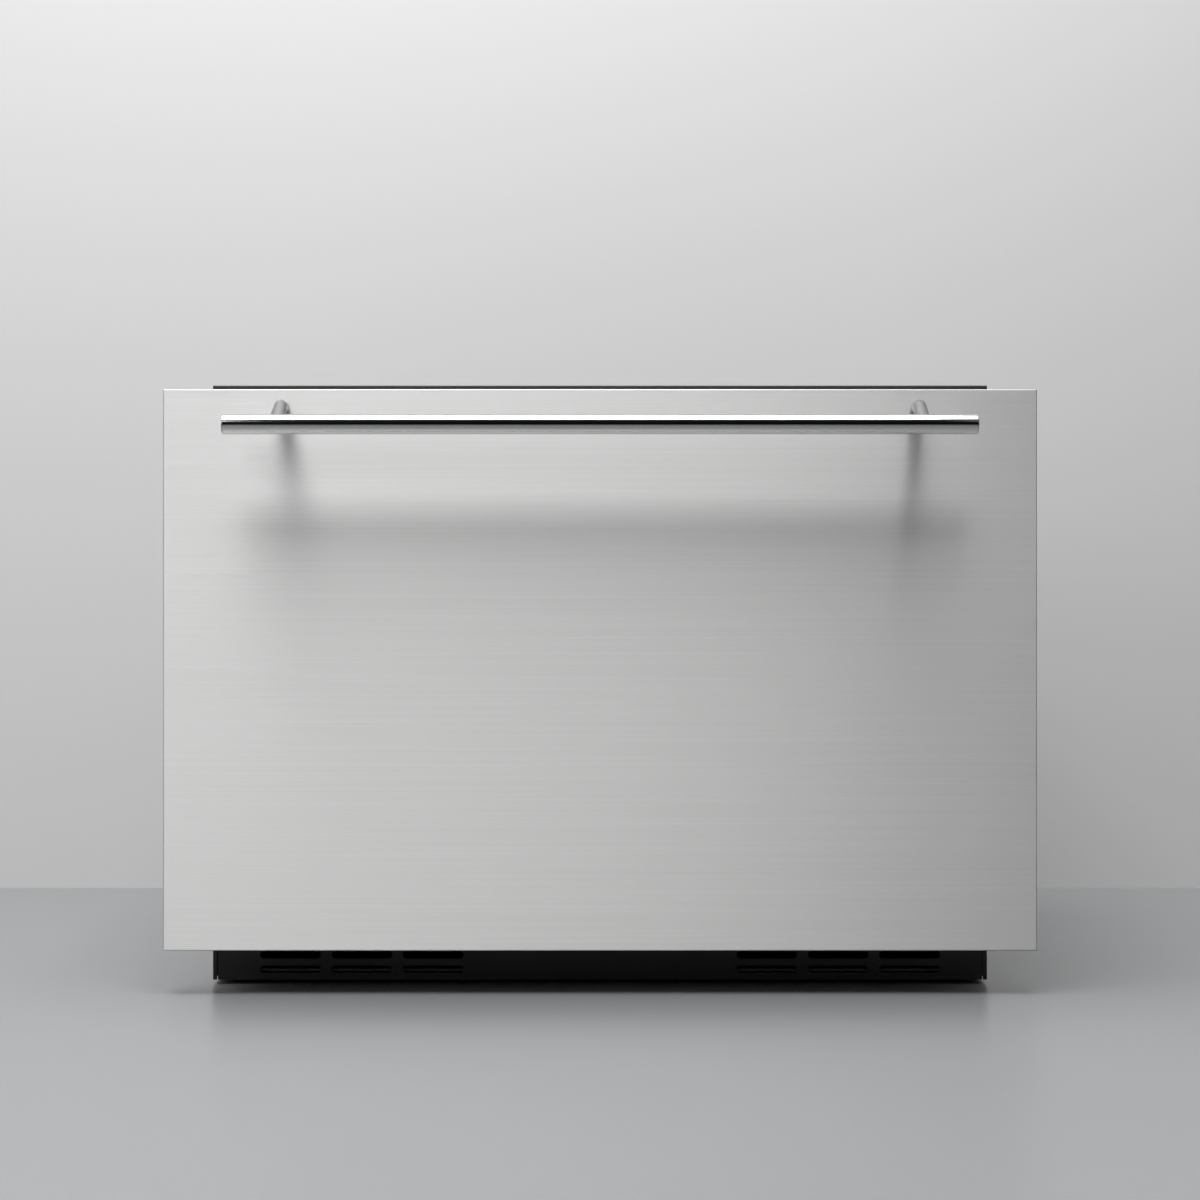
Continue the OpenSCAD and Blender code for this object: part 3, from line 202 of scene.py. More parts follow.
def copy_piece(piece, name, matrix):
    """A copy with its own mesh, moved by a matrix."""
    twin = bpy.data.objects.new(name, piece.data.copy())
    bpy.context.scene.collection.objects.link(twin)
    twin.data.transform(matrix)
    return twin


def copy_node(node):
    """A piece that starts from a node's own mesh, with its loose triangles merged into faces."""
    piece = bpy.data.objects.new(node + "_piece", nodes[node].data.copy())
    bpy.context.scene.collection.objects.link(piece)
    edit(piece)
    bpy.ops.mesh.select_all(action="SELECT")
    bpy.ops.mesh.customdata_custom_splitnormals_clear()
    bpy.ops.mesh.remove_doubles(threshold=MERGE_WITHIN)
    bpy.ops.mesh.dissolve_limited(angle_limit=FLAT_WITHIN)
    deselect()
    return piece


def place(piece, body, finish, *stands_for):
    """Gives a finished piece its material, and lets it ride on a body."""
    piece.data.materials.clear()
    piece.data.materials.append(finish["material"])
    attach(piece, body)
    if stands_for:
        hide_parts(*stands_for)


def dress(finish, *names):
    """Gives nodes that keep their own mesh a material."""
    for name in names:
        nodes[name].data.materials.clear()
        nodes[name].data.materials.append(finish["material"])


def rounded_nodes(finish, width, *names, segments=2):
    """Stands softened copies in for nodes, so that their edges catch the light."""
    for name in names:
        piece = soften(copy_node(name), width, segments)
        place(piece, nodes[name]["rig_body"], finish, name)


# ---------------------------------------------------------------- finishes

def new_finish(name, slot, colour, **shader):
    """A material whose uniform values are set on the sockets of its own shader."""
    material = bpy.data.materials.new(name)
    material.use_nodes = True
    tree = material.node_tree
    principled = tree.nodes["Principled BSDF"]
    principled.inputs["Base Color"].default_value = (*colour, 1)
    for key, value in shader.items():
        principled.inputs[key.replace("_", " ")].default_value = value
    where = tree.nodes.new("ShaderNodeTexCoord")
    return {"material": material, "tree": tree, "shader": principled, "where": where, "slot": slot}


def noise(finish, grain, detail, roughness=0.5):
    """Cloudy noise. Its grain is the number of grains per metre along X, Y and Z."""
    tree = finish["tree"]
    mapping = tree.nodes.new("ShaderNodeMapping")
    mapping.inputs["Scale"].default_value = grain
    texture = tree.nodes.new("ShaderNodeTexNoise")
    texture.inputs["Scale"].default_value = 1
    texture.inputs["Detail"].default_value = detail
    texture.inputs["Roughness"].default_value = roughness
    tree.links.new(finish["where"].outputs["Object"], mapping.inputs["Vector"])
    tree.links.new(mapping.outputs["Vector"], texture.inputs["Vector"])
    return texture.outputs["Fac"]


def speckle(finish, per_metre):
    """Distance to scattered cells, for moulded and cast grain."""
    tree = finish["tree"]
    texture = tree.nodes.new("ShaderNodeTexVoronoi")
    texture.inputs["Scale"].default_value = per_metre
    tree.links.new(finish["where"].outputs["Object"], texture.inputs["Vector"])
    return texture.outputs["Distance"]


def spread(finish, value, low, high, start=0.3, end=0.7):
    """Maps a pattern between start and end onto low to high."""
    tree = finish["tree"]
    ramp = tree.nodes.new("ShaderNodeMapRange")
    ramp.inputs["From Min"].default_value = start
    ramp.inputs["From Max"].default_value = end
    ramp.inputs["To Min"].default_value = low
    ramp.inputs["To Max"].default_value = high
    tree.links.new(value, ramp.inputs["Value"])
    return ramp.outputs["Result"]


def blend_colour(finish, value, first, second):
    """Colours the surface from the first colour to the second by a pattern."""
    tree = finish["tree"]
    mix = tree.nodes.new("ShaderNodeMix")
    mix.data_type = "RGBA"
    mix.inputs["A"].default_value = (*first, 1)
    mix.inputs["B"].default_value = (*second, 1)
    tree.links.new(value, mix.inputs["Factor"])
    tree.links.new(mix.outputs["Result"], finish["shader"].inputs["Base Color"])


def set_roughness(finish, value):
    """Makes the gloss follow a pattern."""
    finish["tree"].links.new(value, finish["shader"].inputs["Roughness"])


def relief(finish, value, depth, strength):
    """Raises the surface by a pattern, on top of any relief that it has. Depth is in metres."""
    tree = finish["tree"]
    bump = tree.nodes.new("ShaderNodeBump")
    bump.inputs["Strength"].default_value = strength
    bump.inputs["Distance"].default_value = depth
    tree.links.new(value, bump.inputs["Height"])
    last = finish["shader"].inputs["Normal"]
    if last.is_linked:
        tree.links.new(last.links[0].from_socket, bump.inputs["Normal"])
    tree.links.new(bump.outputs["Normal"], last)


def darker(colour, part):
    """A colour with this part of its brightness."""
    return tuple(channel * part for channel in colour)


def brushed(name, slot, colour, roughness, grain, contrast=0.93, waviness=0.05, **shader):
    """Bare metal with fine scratches along the axis that has the fewest grains per metre."""
    finish = new_finish(name, slot, colour, Metallic=1, **shader)
    scratches = noise(finish, grain, 4, 0.65)
    waves = noise(finish, (5, 5, 5), 2)
    blend_colour(finish, spread(finish, scratches, 0, 1, 0.35, 0.65), darker(colour, contrast),
                 colour)
    set_roughness(finish, spread(finish, scratches, roughness * 0.86, roughness * 1.16))
    relief(finish, scratches, 0.02 * MM, 0.25)
    relief(finish, waves, 0.3 * MM, waviness)
    return finish


def plastic(name, slot, colour, roughness, grain_per_metre=1600, depth=0.02 * MM, **shader):
    """Moulded plastic or rubber with a fine grain and a slightly uneven gloss."""
    finish = new_finish(name, slot, colour, **shader)
    grain = speckle(finish, grain_per_metre)
    uneven = noise(finish, (14, 14, 14), 3)
    blend_colour(finish, spread(finish, uneven, 0, 1, 0.25, 0.75), darker(colour, 0.97), colour)
    set_roughness(finish, spread(finish, uneven, roughness * 0.95, roughness * 1.08))
    relief(finish, grain, depth, 0.5)
    return finish


def painted(name, slot, colour, roughness, peel_per_metre=900, depth=0.02 * MM, **shader):
    """Baked paint on sheet, with a fine orange peel."""
    finish = new_finish(name, slot, colour, **shader)
    peel = noise(finish, (peel_per_metre,) * 3, 2)
    uneven = noise(finish, (8, 8, 8), 3)
    blend_colour(finish, spread(finish, uneven, 0, 1), darker(colour, 0.85), colour)
    set_roughness(finish, spread(finish, peel, roughness * 0.9, roughness * 1.15))
    relief(finish, peel, depth, 0.4)
    return finish


def spangled_zinc():
    """Hot-dipped sheet: pale crystals of zinc, each a little brighter or duller than the next."""
    finish = new_finish("spangled_zinc", "zinc_sheet", (0.55, 0.57, 0.58), Metallic=1)
    tree = finish["tree"]
    crystals = tree.nodes.new("ShaderNodeTexVoronoi")
    crystals.inputs["Scale"].default_value = 110
    tree.links.new(finish["where"].outputs["Object"], crystals.inputs["Vector"])
    crystal = tree.nodes.new("ShaderNodeSeparateColor")
    tree.links.new(crystals.outputs["Color"], crystal.inputs["Color"])
    blend_colour(finish, crystal.outputs["Red"], (0.5, 0.52, 0.53), (0.59, 0.61, 0.62))
    set_roughness(finish, spread(finish, crystal.outputs["Green"], 0.37, 0.48, 0, 1))
    relief(finish, noise(finish, (60, 60, 60), 3), 0.05 * MM, 0.2)
    return finish


stainless = brushed("brushed_stainless", "stainless", (0.66, 0.66, 0.655), 0.62, (4, 900, 900),
                    contrast=0.89, Anisotropic=0.9, Anisotropic_Rotation=0.25)
polished = brushed("polished_stainless", "polished_steel", (0.5, 0.5, 0.5), 0.07,
                   (6, 700, 700), waviness=0.008)
# Painted shade: the posts are the bar's polished steel given a much darker colour, which stands in
# for the dark reflections on them.
post_steel = brushed("post_steel", "polished_steel", (0.27, 0.27, 0.27), 0.16,
                     (300, 300, 300), waviness=0.008)
black_paint = painted("black_paint", "cabinet_paint", (0.012, 0.012, 0.013), 0.42)
zinc = spangled_zinc()
# Painted shade: the zinc sheet made nearly black for the base pan and deck, so that the pan seen
# through the grille's slots looks as dark as shade.
dull_zinc = painted("dull_zinc", "zinc_sheet", (0.07, 0.072, 0.075), 0.6, Metallic=0.5)
black_plastic = plastic("black_plastic", "black_plastic", (0.0075, 0.0075, 0.008), 0.46)
black_rubber = plastic("black_rubber", "black_rubber", (0.016, 0.016, 0.016), 0.72)
compressor_black = painted("compressor_black", "compressor_paint", (0.012, 0.012, 0.013), 0.22,
                           peel_per_metre=500)
cast_iron = plastic("cast_iron", "pump_iron", (0.2, 0.205, 0.21), 0.6, grain_per_metre=900,
                    depth=0.1 * MM, Metallic=0.6)
bright_zinc = brushed("bright_zinc", "zinc_screw", (0.62, 0.63, 0.64), 0.28, (300, 300, 300))
grey_plastic = plastic("grey_plastic", "grey_plastic", (0.3, 0.31, 0.32), 0.5)
foam = plastic("poured_foam", "foam", (0.76, 0.62, 0.3), 0.85, grain_per_metre=420,
               depth=0.4 * MM)
white_liner = plastic("white_liner", "liner_white", (0.62, 0.63, 0.63), 0.22,
                      grain_per_metre=500, depth=0.015 * MM)
white_plastic = plastic("white_plastic", "white_plastic", (0.62, 0.63, 0.63), 0.34)
bin_plastic = plastic("bin_plastic", "bin_plastic", (0.56, 0.58, 0.59), 0.3, grain_per_metre=700)
gasket_rubber = plastic("gasket_rubber", "gasket_grey", (0.035, 0.036, 0.038), 0.6)
magnet = plastic("magnet_strip", "magnet_strip", (0.09, 0.085, 0.08), 0.7)
foot_plastic = plastic("foot_plastic", "foot_black", (0.013, 0.013, 0.013), 0.5)
hose = plastic("clear_hose", "clear_hose", (0.66, 0.68, 0.68), 0.25, Transmission_Weight=0.35)
frosted = plastic("frosted_lens", "lens", (0.9, 0.91, 0.89), 0.35, grain_per_metre=900,
                  depth=0.05 * MM, Transmission_Weight=0.7, IOR=1.49)
copper = brushed("drawn_copper", "copper", (0.83, 0.42, 0.26), 0.3, (120, 120, 120))
fin_metal = brushed("fin_aluminium", "fin_aluminium", (0.78, 0.79, 0.8), 0.34, (400, 400, 20))
coil_metal = brushed("coil_aluminium", "coil_aluminium", (0.72, 0.73, 0.75), 0.3, (60, 400, 400))
runner_steel = brushed("rolled_zinc", "runner_steel", (0.58, 0.6, 0.62), 0.3, (400, 6, 400))
cage_steel = brushed("ball_steel", "cage_steel", (0.5, 0.52, 0.54), 0.2, (200, 200, 200))
chrome = brushed("rail_chrome", "rail_chrome", (0.75, 0.76, 0.77), 0.07, (150, 150, 150),
                 waviness=0.01)


# ---------------------------------------------------------------- drawer front

panel_low, panel_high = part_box("front_panel")
bar_low, bar_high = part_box("handle_bar")
post_low, post_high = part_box("handle_posts")
PANEL_SHEET = 1.2 * MM
PANEL_FOLD_R = 0.7 * MM
PANEL_HOLE_R = 2.3 * MM
BAR_END_R = 0.9 * MM
POST_X = 217.5 * MM
POST_ROOT_R = 4.5 * MM
POST_END_R = 6 * MM
POST_RISE = 14 * MM
POST_HOLE_R = 2.02 * MM
POST_HOLE_DEPTH = 10 * MM
POST_BEND_R = 12 * MM
POST_BEND = math.radians(30)
SEAT_HALF_LENGTH = 20 * MM
SEAT_CLEARANCE = 0.02 * MM
bar_r = (bar_high.z - bar_low.z) / 2
bar_y = (bar_low.y + bar_high.y) / 2
bar_z = (bar_low.z + bar_high.z) / 2
post_z = bar_z + POST_RISE


def front_panel():
    """One stainless sheet: a flat face with its four edges folded back."""
    panel = add_box("front_panel_sheet", panel_low, panel_high)
    edit(panel)
    pick("FACE", lambda centre, normal: normal.y > 0.9)
    bpy.ops.mesh.delete(type="FACE")
    deselect()
    modify(panel, "SOLIDIFY", thickness=PANEL_SHEET, offset=-1, use_even_offset=True)

    def fold(centre, way):
        at_side = near(abs(centre.x), panel_high.x)
        at_end = near(centre.z, panel_low.z) or near(centre.z, panel_high.z)
        at_corner = abs(way.y) > 0.9 and at_side and at_end
        return near(centre.y, panel_low.y) or at_corner

    edit(panel)
    pick("EDGE", fold)
    round_edges(PANEL_FOLD_R)
    deselect()
    holes = [add_rod("hole", (x, panel_low.y - MM, post_z), (x, panel_low.y + 3 * MM, post_z),
                     PANEL_HOLE_R, 32) for x in (-POST_X, POST_X)]
    cut(panel, *holes)
    return smooth(panel, 25)


def handle_bar():
    """A polished round bar with rolled ends."""
    bar = add_rod("handle_bar_round", (bar_low.x, bar_y, bar_z), (bar_high.x, bar_y, bar_z),
                  bar_r, 96)
    edit(bar)
    pick("EDGE", lambda centre, way: abs(way.x) < 0.5)
    round_edges(BAR_END_R)
    deselect()
    return smooth(bar, 40)


def handle_post(x):
    """A stand-off that leaves the panel squarely, bends down and swells to meet the bar."""
    rise = POST_RISE - POST_BEND_R * (1 - math.cos(POST_BEND))
    leg = rise / math.sin(POST_BEND)
    stub = (panel_low.y - bar_y - POST_BEND_R * math.sin(POST_BEND)
            - leg * math.cos(POST_BEND))
    deselect()
    bpy.ops.mesh.primitive_circle_add(vertices=48, radius=POST_ROOT_R, fill_type="NGON",
                                      location=(x, panel_low.y, post_z),
                                      rotation=(math.radians(90), 0, 0))
    post = settle(bpy.context.object, "handle_post")
    edit(post)
    bpy.ops.mesh.select_all(action="SELECT")
    bpy.ops.mesh.extrude_region_move(TRANSFORM_OT_translate={"value": (0, -stub, 0)})
    bpy.ops.mesh.spin(steps=10, angle=-POST_BEND, axis=(1, 0, 0),
                      center=(x, panel_low.y - stub, post_z - POST_BEND_R))
    down_leg = leg * Vector((0, -math.cos(POST_BEND), -math.sin(POST_BEND)))
    bpy.ops.mesh.extrude_region_move(TRANSFORM_OT_translate={"value": down_leg})
    bpy.ops.transform.resize(value=(POST_END_R / POST_ROOT_R,) * 3,
                             center_override=(x, bar_y, bar_z))
    bpy.ops.mesh.select_all(action="SELECT")
    bpy.ops.mesh.remove_doubles(threshold=0.001 * MM)
    bpy.ops.mesh.normals_make_consistent(inside=False)
    deselect()
    seat = add_rod("seat", (x - SEAT_HALF_LENGTH, bar_y, bar_z),
                   (x + SEAT_HALF_LENGTH, bar_y, bar_z), bar_r + SEAT_CLEARANCE, 96)
    cut(post, seat)
    hole = add_rod("hole", (x, panel_low.y + MM, post_z),
                   (x, panel_low.y - POST_HOLE_DEPTH, post_z), POST_HOLE_R, 24)
    cut(post, hole)
    return smooth(post, 40)


place(front_panel(), "drawer", stainless, "front_panel")
place(handle_bar(), "drawer", polished, "handle_bar")
posts = join("handle_posts_pair", handle_post(-POST_X), handle_post(POST_X))
# The posts wear the darkened steel, a painted shade.
place(posts, "drawer", post_steel, "handle_posts")


# ---------------------------------------------------------------- drawer

# The bin's side walls stand between these two distances from the middle
BIN_SIDE_FROM = 218 * MM
BIN_SIDE_TO = 222 * MM
BIN_RIM_SHEET = 2.5 * MM
BIN_CORNER_R = 7 * MM


def food_bin():
    """The moulded bin: a stepped tub whose walls and floors meet in round corners, and a rim."""
    tub = copy_node("bin")
    below_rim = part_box("bin")[1].z - BIN_RIM_SHEET - MM
    edit(tub)

    def wall_corner(centre, way):
        in_side_wall = BIN_SIDE_FROM < abs(centre.x) < BIN_SIDE_TO
        down_or_along = in_side_wall and (abs(way.z) > 0.9 or abs(way.y) > 0.9)
        across = abs(way.x) > 0.9 and abs(centre.x) < MM
        return (down_or_along or across) and centre.z < below_rim

    pick("EDGE", wall_corner)
    round_edges(BIN_CORNER_R, 6)
    deselect()
    return soften(tub, 0.6 * MM, 2, 40)


rounded_nodes(white_liner, 1.5 * MM, "front_liner", segments=3)
place(food_bin(), "drawer", bin_plastic, "bin")
rounded_nodes(gasket_rubber, 0.9 * MM, "gasket", segments=3)
rounded_nodes(runner_steel, 0.35 * MM, "drawer_brackets", "drawer_tie_bar", "inner_runners",
              "outer_runners", "middle_runner_left", "middle_runner_right")
rounded_nodes(cage_steel, 0.15 * MM, "outer_ball_cage_left", "outer_ball_cage_right",
              "inner_ball_cage_left", "inner_ball_cage_right")
rounded_nodes(chrome, 0.3 * MM, "bin_rail")
dress(magnet, "gasket_magnets")
dress(foam, "front_foam", "insulation_foam")


# ---------------------------------------------------------------- cabinet

WRAP_FOLD_R = 0.8 * MM
# The pressed field of the back panel
FIELD_MARGIN = 28 * MM
FIELD_SLOPE = 5 * MM
FIELD_DEPTH = 1.4 * MM
# The rear cover's slots, in a column on each side, and the hood over each slot
CABINET_HALF_WIDTH = 273.5 * MM
LOUVRE_X = CABINET_HALF_WIDTH * 0.42
LOUVRE_LENGTH = CABINET_HALF_WIDTH * 0.55
LOUVRE_ROWS = 9
LOUVRE_FIRST_ROW = 53.2 * MM
LOUVRE_PITCH = 12 * MM
HOOD_ROOT = 0.4 * MM
HOOD_OUT = 2.3 * MM
HOOD_BELOW = 2.6 * MM
HOOD_ABOVE = 5 * MM
HOOD_SLOPE = 1.6 * MM
HOOD_EDGE_R = 1.0 * MM
HOOD_SHEET = 0.6 * MM
# The cross recess in a screw's head. Its reach is a part of the head's width.
HEAD_DOME_R = 0.45 * MM
CROSS_REACH = 0.27
CROSS_HALF_WIDTH = 0.35 * MM
CROSS_DEPTH = 0.55 * MM
# The faces of the liner whose meeting lines are round corners
LINER_SIDE = 237.5 * MM
LINER_HEIGHTS = (98 * MM, 226 * MM, 387 * MM)
LINER_DEPTHS = (72.875 * MM, 242.875 * MM)
LINER_CORNER_R = 6 * MM


def cabinet_wrap():
    """The black wrap: one folded sheet with round corners and a narrow hem at the front."""
    wrap = copy_node("cabinet_wrap")
    low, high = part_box("cabinet_wrap")
    edit(wrap)

    def outer_fold(centre, way):
        side = near(abs(centre.x), high.x)
        top = near(centre.z, high.z)
        front = near(centre.y, low.y)
        return (side and top) or (side and front) or (top and front)

    pick("EDGE", outer_fold)
    round_edges(WRAP_FOLD_R)
    deselect()
    return soften(wrap, 0.25 * MM, 1, 40)


def back_panel():
    """The zinc back sheet with a pressed field that stiffens it."""
    low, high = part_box("back_panel")
    sheet = add_box("back_panel_sheet", low, high)
    edit(sheet)
    pick("FACE", lambda centre, normal: abs(normal.y) > 0.9)
    bpy.ops.mesh.inset(thickness=FIELD_MARGIN)
    bpy.ops.mesh.inset(thickness=FIELD_SLOPE)
    bpy.ops.transform.translate(value=(0, FIELD_DEPTH, 0))
    deselect()
    return soften(sheet, 0.6 * MM, 3, 10)


def rear_cover():
    """The vented cover, with a pressed hood over each slot."""
    cover = soften(copy_node("rear_cover"), 0.2 * MM, 1)
    face_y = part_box("rear_cover")[1].y
    hood = add_box("louvre_hood", (-LOUVRE_LENGTH / 2 - MM, face_y - HOOD_ROOT, -HOOD_BELOW),
                   (LOUVRE_LENGTH / 2 + MM, face_y + HOOD_OUT, HOOD_ABOVE))
    edit(hood)
    pick("FACE", lambda centre, normal: normal.y < -0.9 or normal.z < -0.9)
    bpy.ops.mesh.delete(type="FACE")
    pick("VERT", lambda point: point.z > 0 and point.y > face_y)
    bpy.ops.transform.translate(value=(0, -HOOD_SLOPE, 0))
    pick("EDGE", lambda centre, way: centre.y > face_y + HOOD_ROOT / 2)
    round_edges(HOOD_EDGE_R, 3)
    deselect()
    modify(hood, "SOLIDIFY", thickness=HOOD_SHEET, offset=-1)
    smooth(hood, 35)
    hoods = []
    for side in (-1, 1):
        for row in range(LOUVRE_ROWS):
            spot = (side * LOUVRE_X, 0, LOUVRE_FIRST_ROW + row * LOUVRE_PITCH)
            hoods.append(copy_piece(hood, "louvre", Matrix.Translation(spot)))
    bpy.data.objects.remove(hood)
    return smooth(join("rear_cover_louvred", cover, *hoods), 35)


def recessed_screws(node):
    """The node's own screws, each head domed and cut with a cross. A screw's axis is its longest
    side, and its head is at the end that is wide."""
    screws = copy_node(node)
    edit(screws)
    bpy.ops.mesh.select_all(action="SELECT")
    bpy.ops.mesh.separate(type="LOOSE")
    deselect()
    loose = [piece for piece in bpy.context.scene.objects if piece.name.startswith(screws.name)]
    for screw in loose:
        points = [v.co for v in screw.data.vertices]
        low = Vector([min(p[i] for p in points) for i in range(3)])
        high = Vector([max(p[i] for p in points) for i in range(3)])
        size = high - low
        axis = max(range(3), key=lambda i: size[i])
        wide = max(size[i] for i in range(3) if i != axis)
        centre = (low + high) / 2
        across = (axis + 1) % 3
        at_low = max(abs(p[across] - centre[across]) for p in points
                     if p[axis] < low[axis] + 0.1 * MM)
        outward = -1 if at_low > wide * 0.45 else 1
        face = low[axis] if outward < 0 else high[axis]

        def head_rim(middle, way):
            return near(middle[axis], face) and abs(way[axis]) < 0.5

        edit(screw)
        pick("EDGE", head_rim)
        round_edges(HEAD_DOME_R, 3)
        deselect()
        for arm in range(3):
            if arm == axis:
                continue
            reach = Vector([CROSS_HALF_WIDTH] * 3)
            reach[arm] = wide * CROSS_REACH
            reach[axis] = CROSS_DEPTH
            spot = centre.copy()
            spot[axis] = face
            cut(screw, add_box("bit", spot - reach, spot + reach))
        smooth(screw, 35)
    return join(node + "_recessed", *loose)


def inner_liner():
    """The vacuum-formed white liner, whose walls meet in wide round corners."""
    liner = copy_node("inner_liner")
    edit(liner)

    def corner(centre, way):
        at_side = near(abs(centre.x), LINER_SIDE)
        flat = any(near(centre.z, height) for height in LINER_HEIGHTS)
        wall = any(near(centre.y, depth) for depth in LINER_DEPTHS)
        return (at_side and flat) or (at_side and wall) or (flat and wall)

    pick("EDGE", corner)
    round_edges(LINER_CORNER_R, 5)
    deselect()
    return soften(liner, 0.8 * MM, 2, 40)


place(cabinet_wrap(), "cabinet", black_paint, "cabinet_wrap")
place(back_panel(), "cabinet", zinc, "back_panel")
place(rear_cover(), "cabinet", zinc, "rear_cover")
rounded_nodes(black_plastic, 0.4 * MM, "kick_grille")
rounded_nodes(black_plastic, 0.8 * MM, "breaker_collar", segments=3)
# The base pan and deck plate wear the nearly black zinc, a painted shade behind the grille's
# slots.
rounded_nodes(dull_zinc, 0.35 * MM, "base_pan", "deck_plate")
place(inner_liner(), "cabinet", white_liner, "inner_liner")
rounded_nodes(black_rubber, 0.6 * MM, "cord_gland", "compressor_grommets")
place(recessed_screws("cabinet_screws"), "cabinet", bright_zinc, "cabinet_screws")
place(recessed_screws("drawer_screws"), "drawer", bright_zinc, "drawer_screws")
rounded_nodes(bright_zinc, 0.3 * MM, "compressor_bolts", "thermostat_body")
rounded_nodes(foot_plastic, 0.5 * MM, "foot_front_left", "foot_front_right", "foot_rear_left",
              "foot_rear_right")


# ---------------------------------------------------------------- machine bay and cold side

rounded_nodes(compressor_black, 0.8 * MM, "compressor_shells", "compressor_base")
dress(cast_iron, "compressor_pump")
rounded_nodes(black_plastic, 0.8 * MM, "terminal_cover", "condenser_fan_frame")
rounded_nodes(black_plastic, 0.25 * MM, "condenser_fan_rotor")
rounded_nodes(grey_plastic, 0.9 * MM, "drip_tray", "control_box")
rounded_nodes(copper, 0.2 * MM, "condenser_coil", "refrigerant_lines")
rounded_nodes(coil_metal, 0.2 * MM, "evaporator_coil")
dress(fin_metal, "condenser_fins", "evaporator_fins")
rounded_nodes(fin_metal, 0.3 * MM, "evaporator_pan")
rounded_nodes(hose, 0.3 * MM, "drain_tube")
rounded_nodes(white_plastic, 0.7 * MM, "evaporator_cover", "evaporator_fan_frame",
              "control_housing")
rounded_nodes(white_plastic, 0.25 * MM, "evaporator_fan_rotor", "temperature_dial")

# The dial's marks. The pointer's ends are parts of the dial's radius, and the ticks' ends are
# measured from the dial's rim.
DIAL_TURN = math.radians(270)
DIAL_TICKS = 8
MARK_RAISED = 0.3 * MM
POINTER_FROM = 0.2
POINTER_TO = 0.88
POINTER_HALF_WIDTH = 0.8 * MM
TICK_FROM = 3 * MM
TICK_TO = 6.5 * MM
TICK_HALF_WIDTH = 0.5 * MM
# The lens's ribs, and the grooves between them
RIB_PITCH = 4 * MM
RIB_MARGIN = 3 * MM
GROOVE_R = 0.9 * MM
GROOVE_BELOW = 0.2 * MM


def dial_marks():
    """A raised pointer on the dial's face, and eight raised ticks round it on the housing."""
    dial_low, dial_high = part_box("temperature_dial")
    middle = (dial_low + dial_high) / 2
    radius = (dial_high.x - dial_low.x) / 2
    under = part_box("control_housing")[0].z
    pointer = add_box("dial_pointer",
                      (middle.x - POINTER_HALF_WIDTH, middle.y - POINTER_TO * radius,
                       dial_low.z - MARK_RAISED),
                      (middle.x + POINTER_HALF_WIDTH, middle.y - POINTER_FROM * radius,
                       dial_low.z + MARK_RAISED))
    soften(pointer, 0.25 * MM, 3)
    place(pointer, "temperature_dial", black_plastic)
    tick = add_box("tick", (-TICK_HALF_WIDTH, -radius - TICK_TO, under - MARK_RAISED),
                   (TICK_HALF_WIDTH, -radius - TICK_FROM, under + MARK_RAISED))
    soften(tick, 0.2 * MM, 2)
    here = Matrix.Translation((middle.x, middle.y, 0))
    ticks = []
    for step in range(DIAL_TICKS):
        turn = Matrix.Rotation(-DIAL_TURN * step / (DIAL_TICKS - 1), 4, "Z")
        ticks.append(copy_piece(tick, "tick", here @ turn))
    bpy.data.objects.remove(tick)
    place(join("dial_ticks", *ticks), "cabinet", black_plastic)


def lamp_lens():
    """The frosted lens, with ribs across it that spread the light."""
    low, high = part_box("lamp_lens")
    lens = copy_node("lamp_lens")
    count = int((high.x - low.x - 2 * RIB_MARGIN) / RIB_PITCH)
    first_x = (low.x + high.x - (count - 1) * RIB_PITCH) / 2
    groove_z = low.z - GROOVE_BELOW
    grooves = []
    for column in range(count):
        x = first_x + column * RIB_PITCH
        grooves.append(add_rod("groove", (x, low.y + RIB_MARGIN, groove_z),
                               (x, high.y - RIB_MARGIN, groove_z), GROOVE_R, 16))
    cut(lens, *grooves)
    return soften(lens, 0.3 * MM, 2, 40)


dial_marks()
place(lamp_lens(), "cabinet", frosted, "lamp_lens")


# ---------------------------------------------------------------- studio

WALL_Y = 0.457
ROOM_WIDTH = 14
WALL_HEIGHT = 6
FRONT_AIM = (0, -0.235, 0.22)
# Each soft box: its name, its place, the point that it faces, width, height and power in watts
SOFT_BOXES = (
    ("overhead_light", (0, -0.6, 2.4), (0, -0.6, 0), 3.6, 2.1, 52),
    ("key_light", (-0.3, -0.6, 2.38), (-0.3, -0.6, 0), 1.6, 2.1, 118),
    ("left_fill", (-0.87, -2.3, 1.35), FRONT_AIM, 0.5, 1.1, 7),
    ("right_fill", (0.87, -2.3, 1.35), FRONT_AIM, 0.5, 1.1, 1.2),
    ("left_light", (-2.6, -1.6, 1.2), (0, -0.2, 0.25), 1.2, 1.8, 12),
)
CAMERA_PLACE = (0, -2.095125, 0.2713)
SENSOR_WIDTH = 36
LENS = 81.28


def studio_paint(name, colour, roughness, seen_from_behind=True):
    """Matt studio paint. A wall that isn't seen from behind lets every view look past it."""
    finish = new_finish(name, "", colour, Roughness=roughness)
    tree = finish["tree"]
    relief(finish, noise(finish, (300, 300, 300), 2), 0.1 * MM, 0.1)
    if not seen_from_behind:
        side = tree.nodes.new("ShaderNodeNewGeometry")
        clear = tree.nodes.new("ShaderNodeBsdfTransparent")
        mix = tree.nodes.new("ShaderNodeMixShader")
        tree.links.new(side.outputs["Backfacing"], mix.inputs["Fac"])
        tree.links.new(finish["shader"].outputs["BSDF"], mix.inputs[1])
        tree.links.new(clear.outputs["BSDF"], mix.inputs[2])
        tree.links.new(mix.outputs["Shader"], tree.nodes["Material Output"].inputs["Surface"])
    return finish["material"]


def studio_plane(name, centre, width, length, turn, paint):
    """A flat sheet of the room, which is no part of the object."""
    deselect()
    bpy.ops.mesh.primitive_plane_add(size=1, location=centre, rotation=turn)
    bpy.context.object.scale = (width, length, 1)
    plane = settle(bpy.context.object, name)
    plane.data.materials.append(paint)


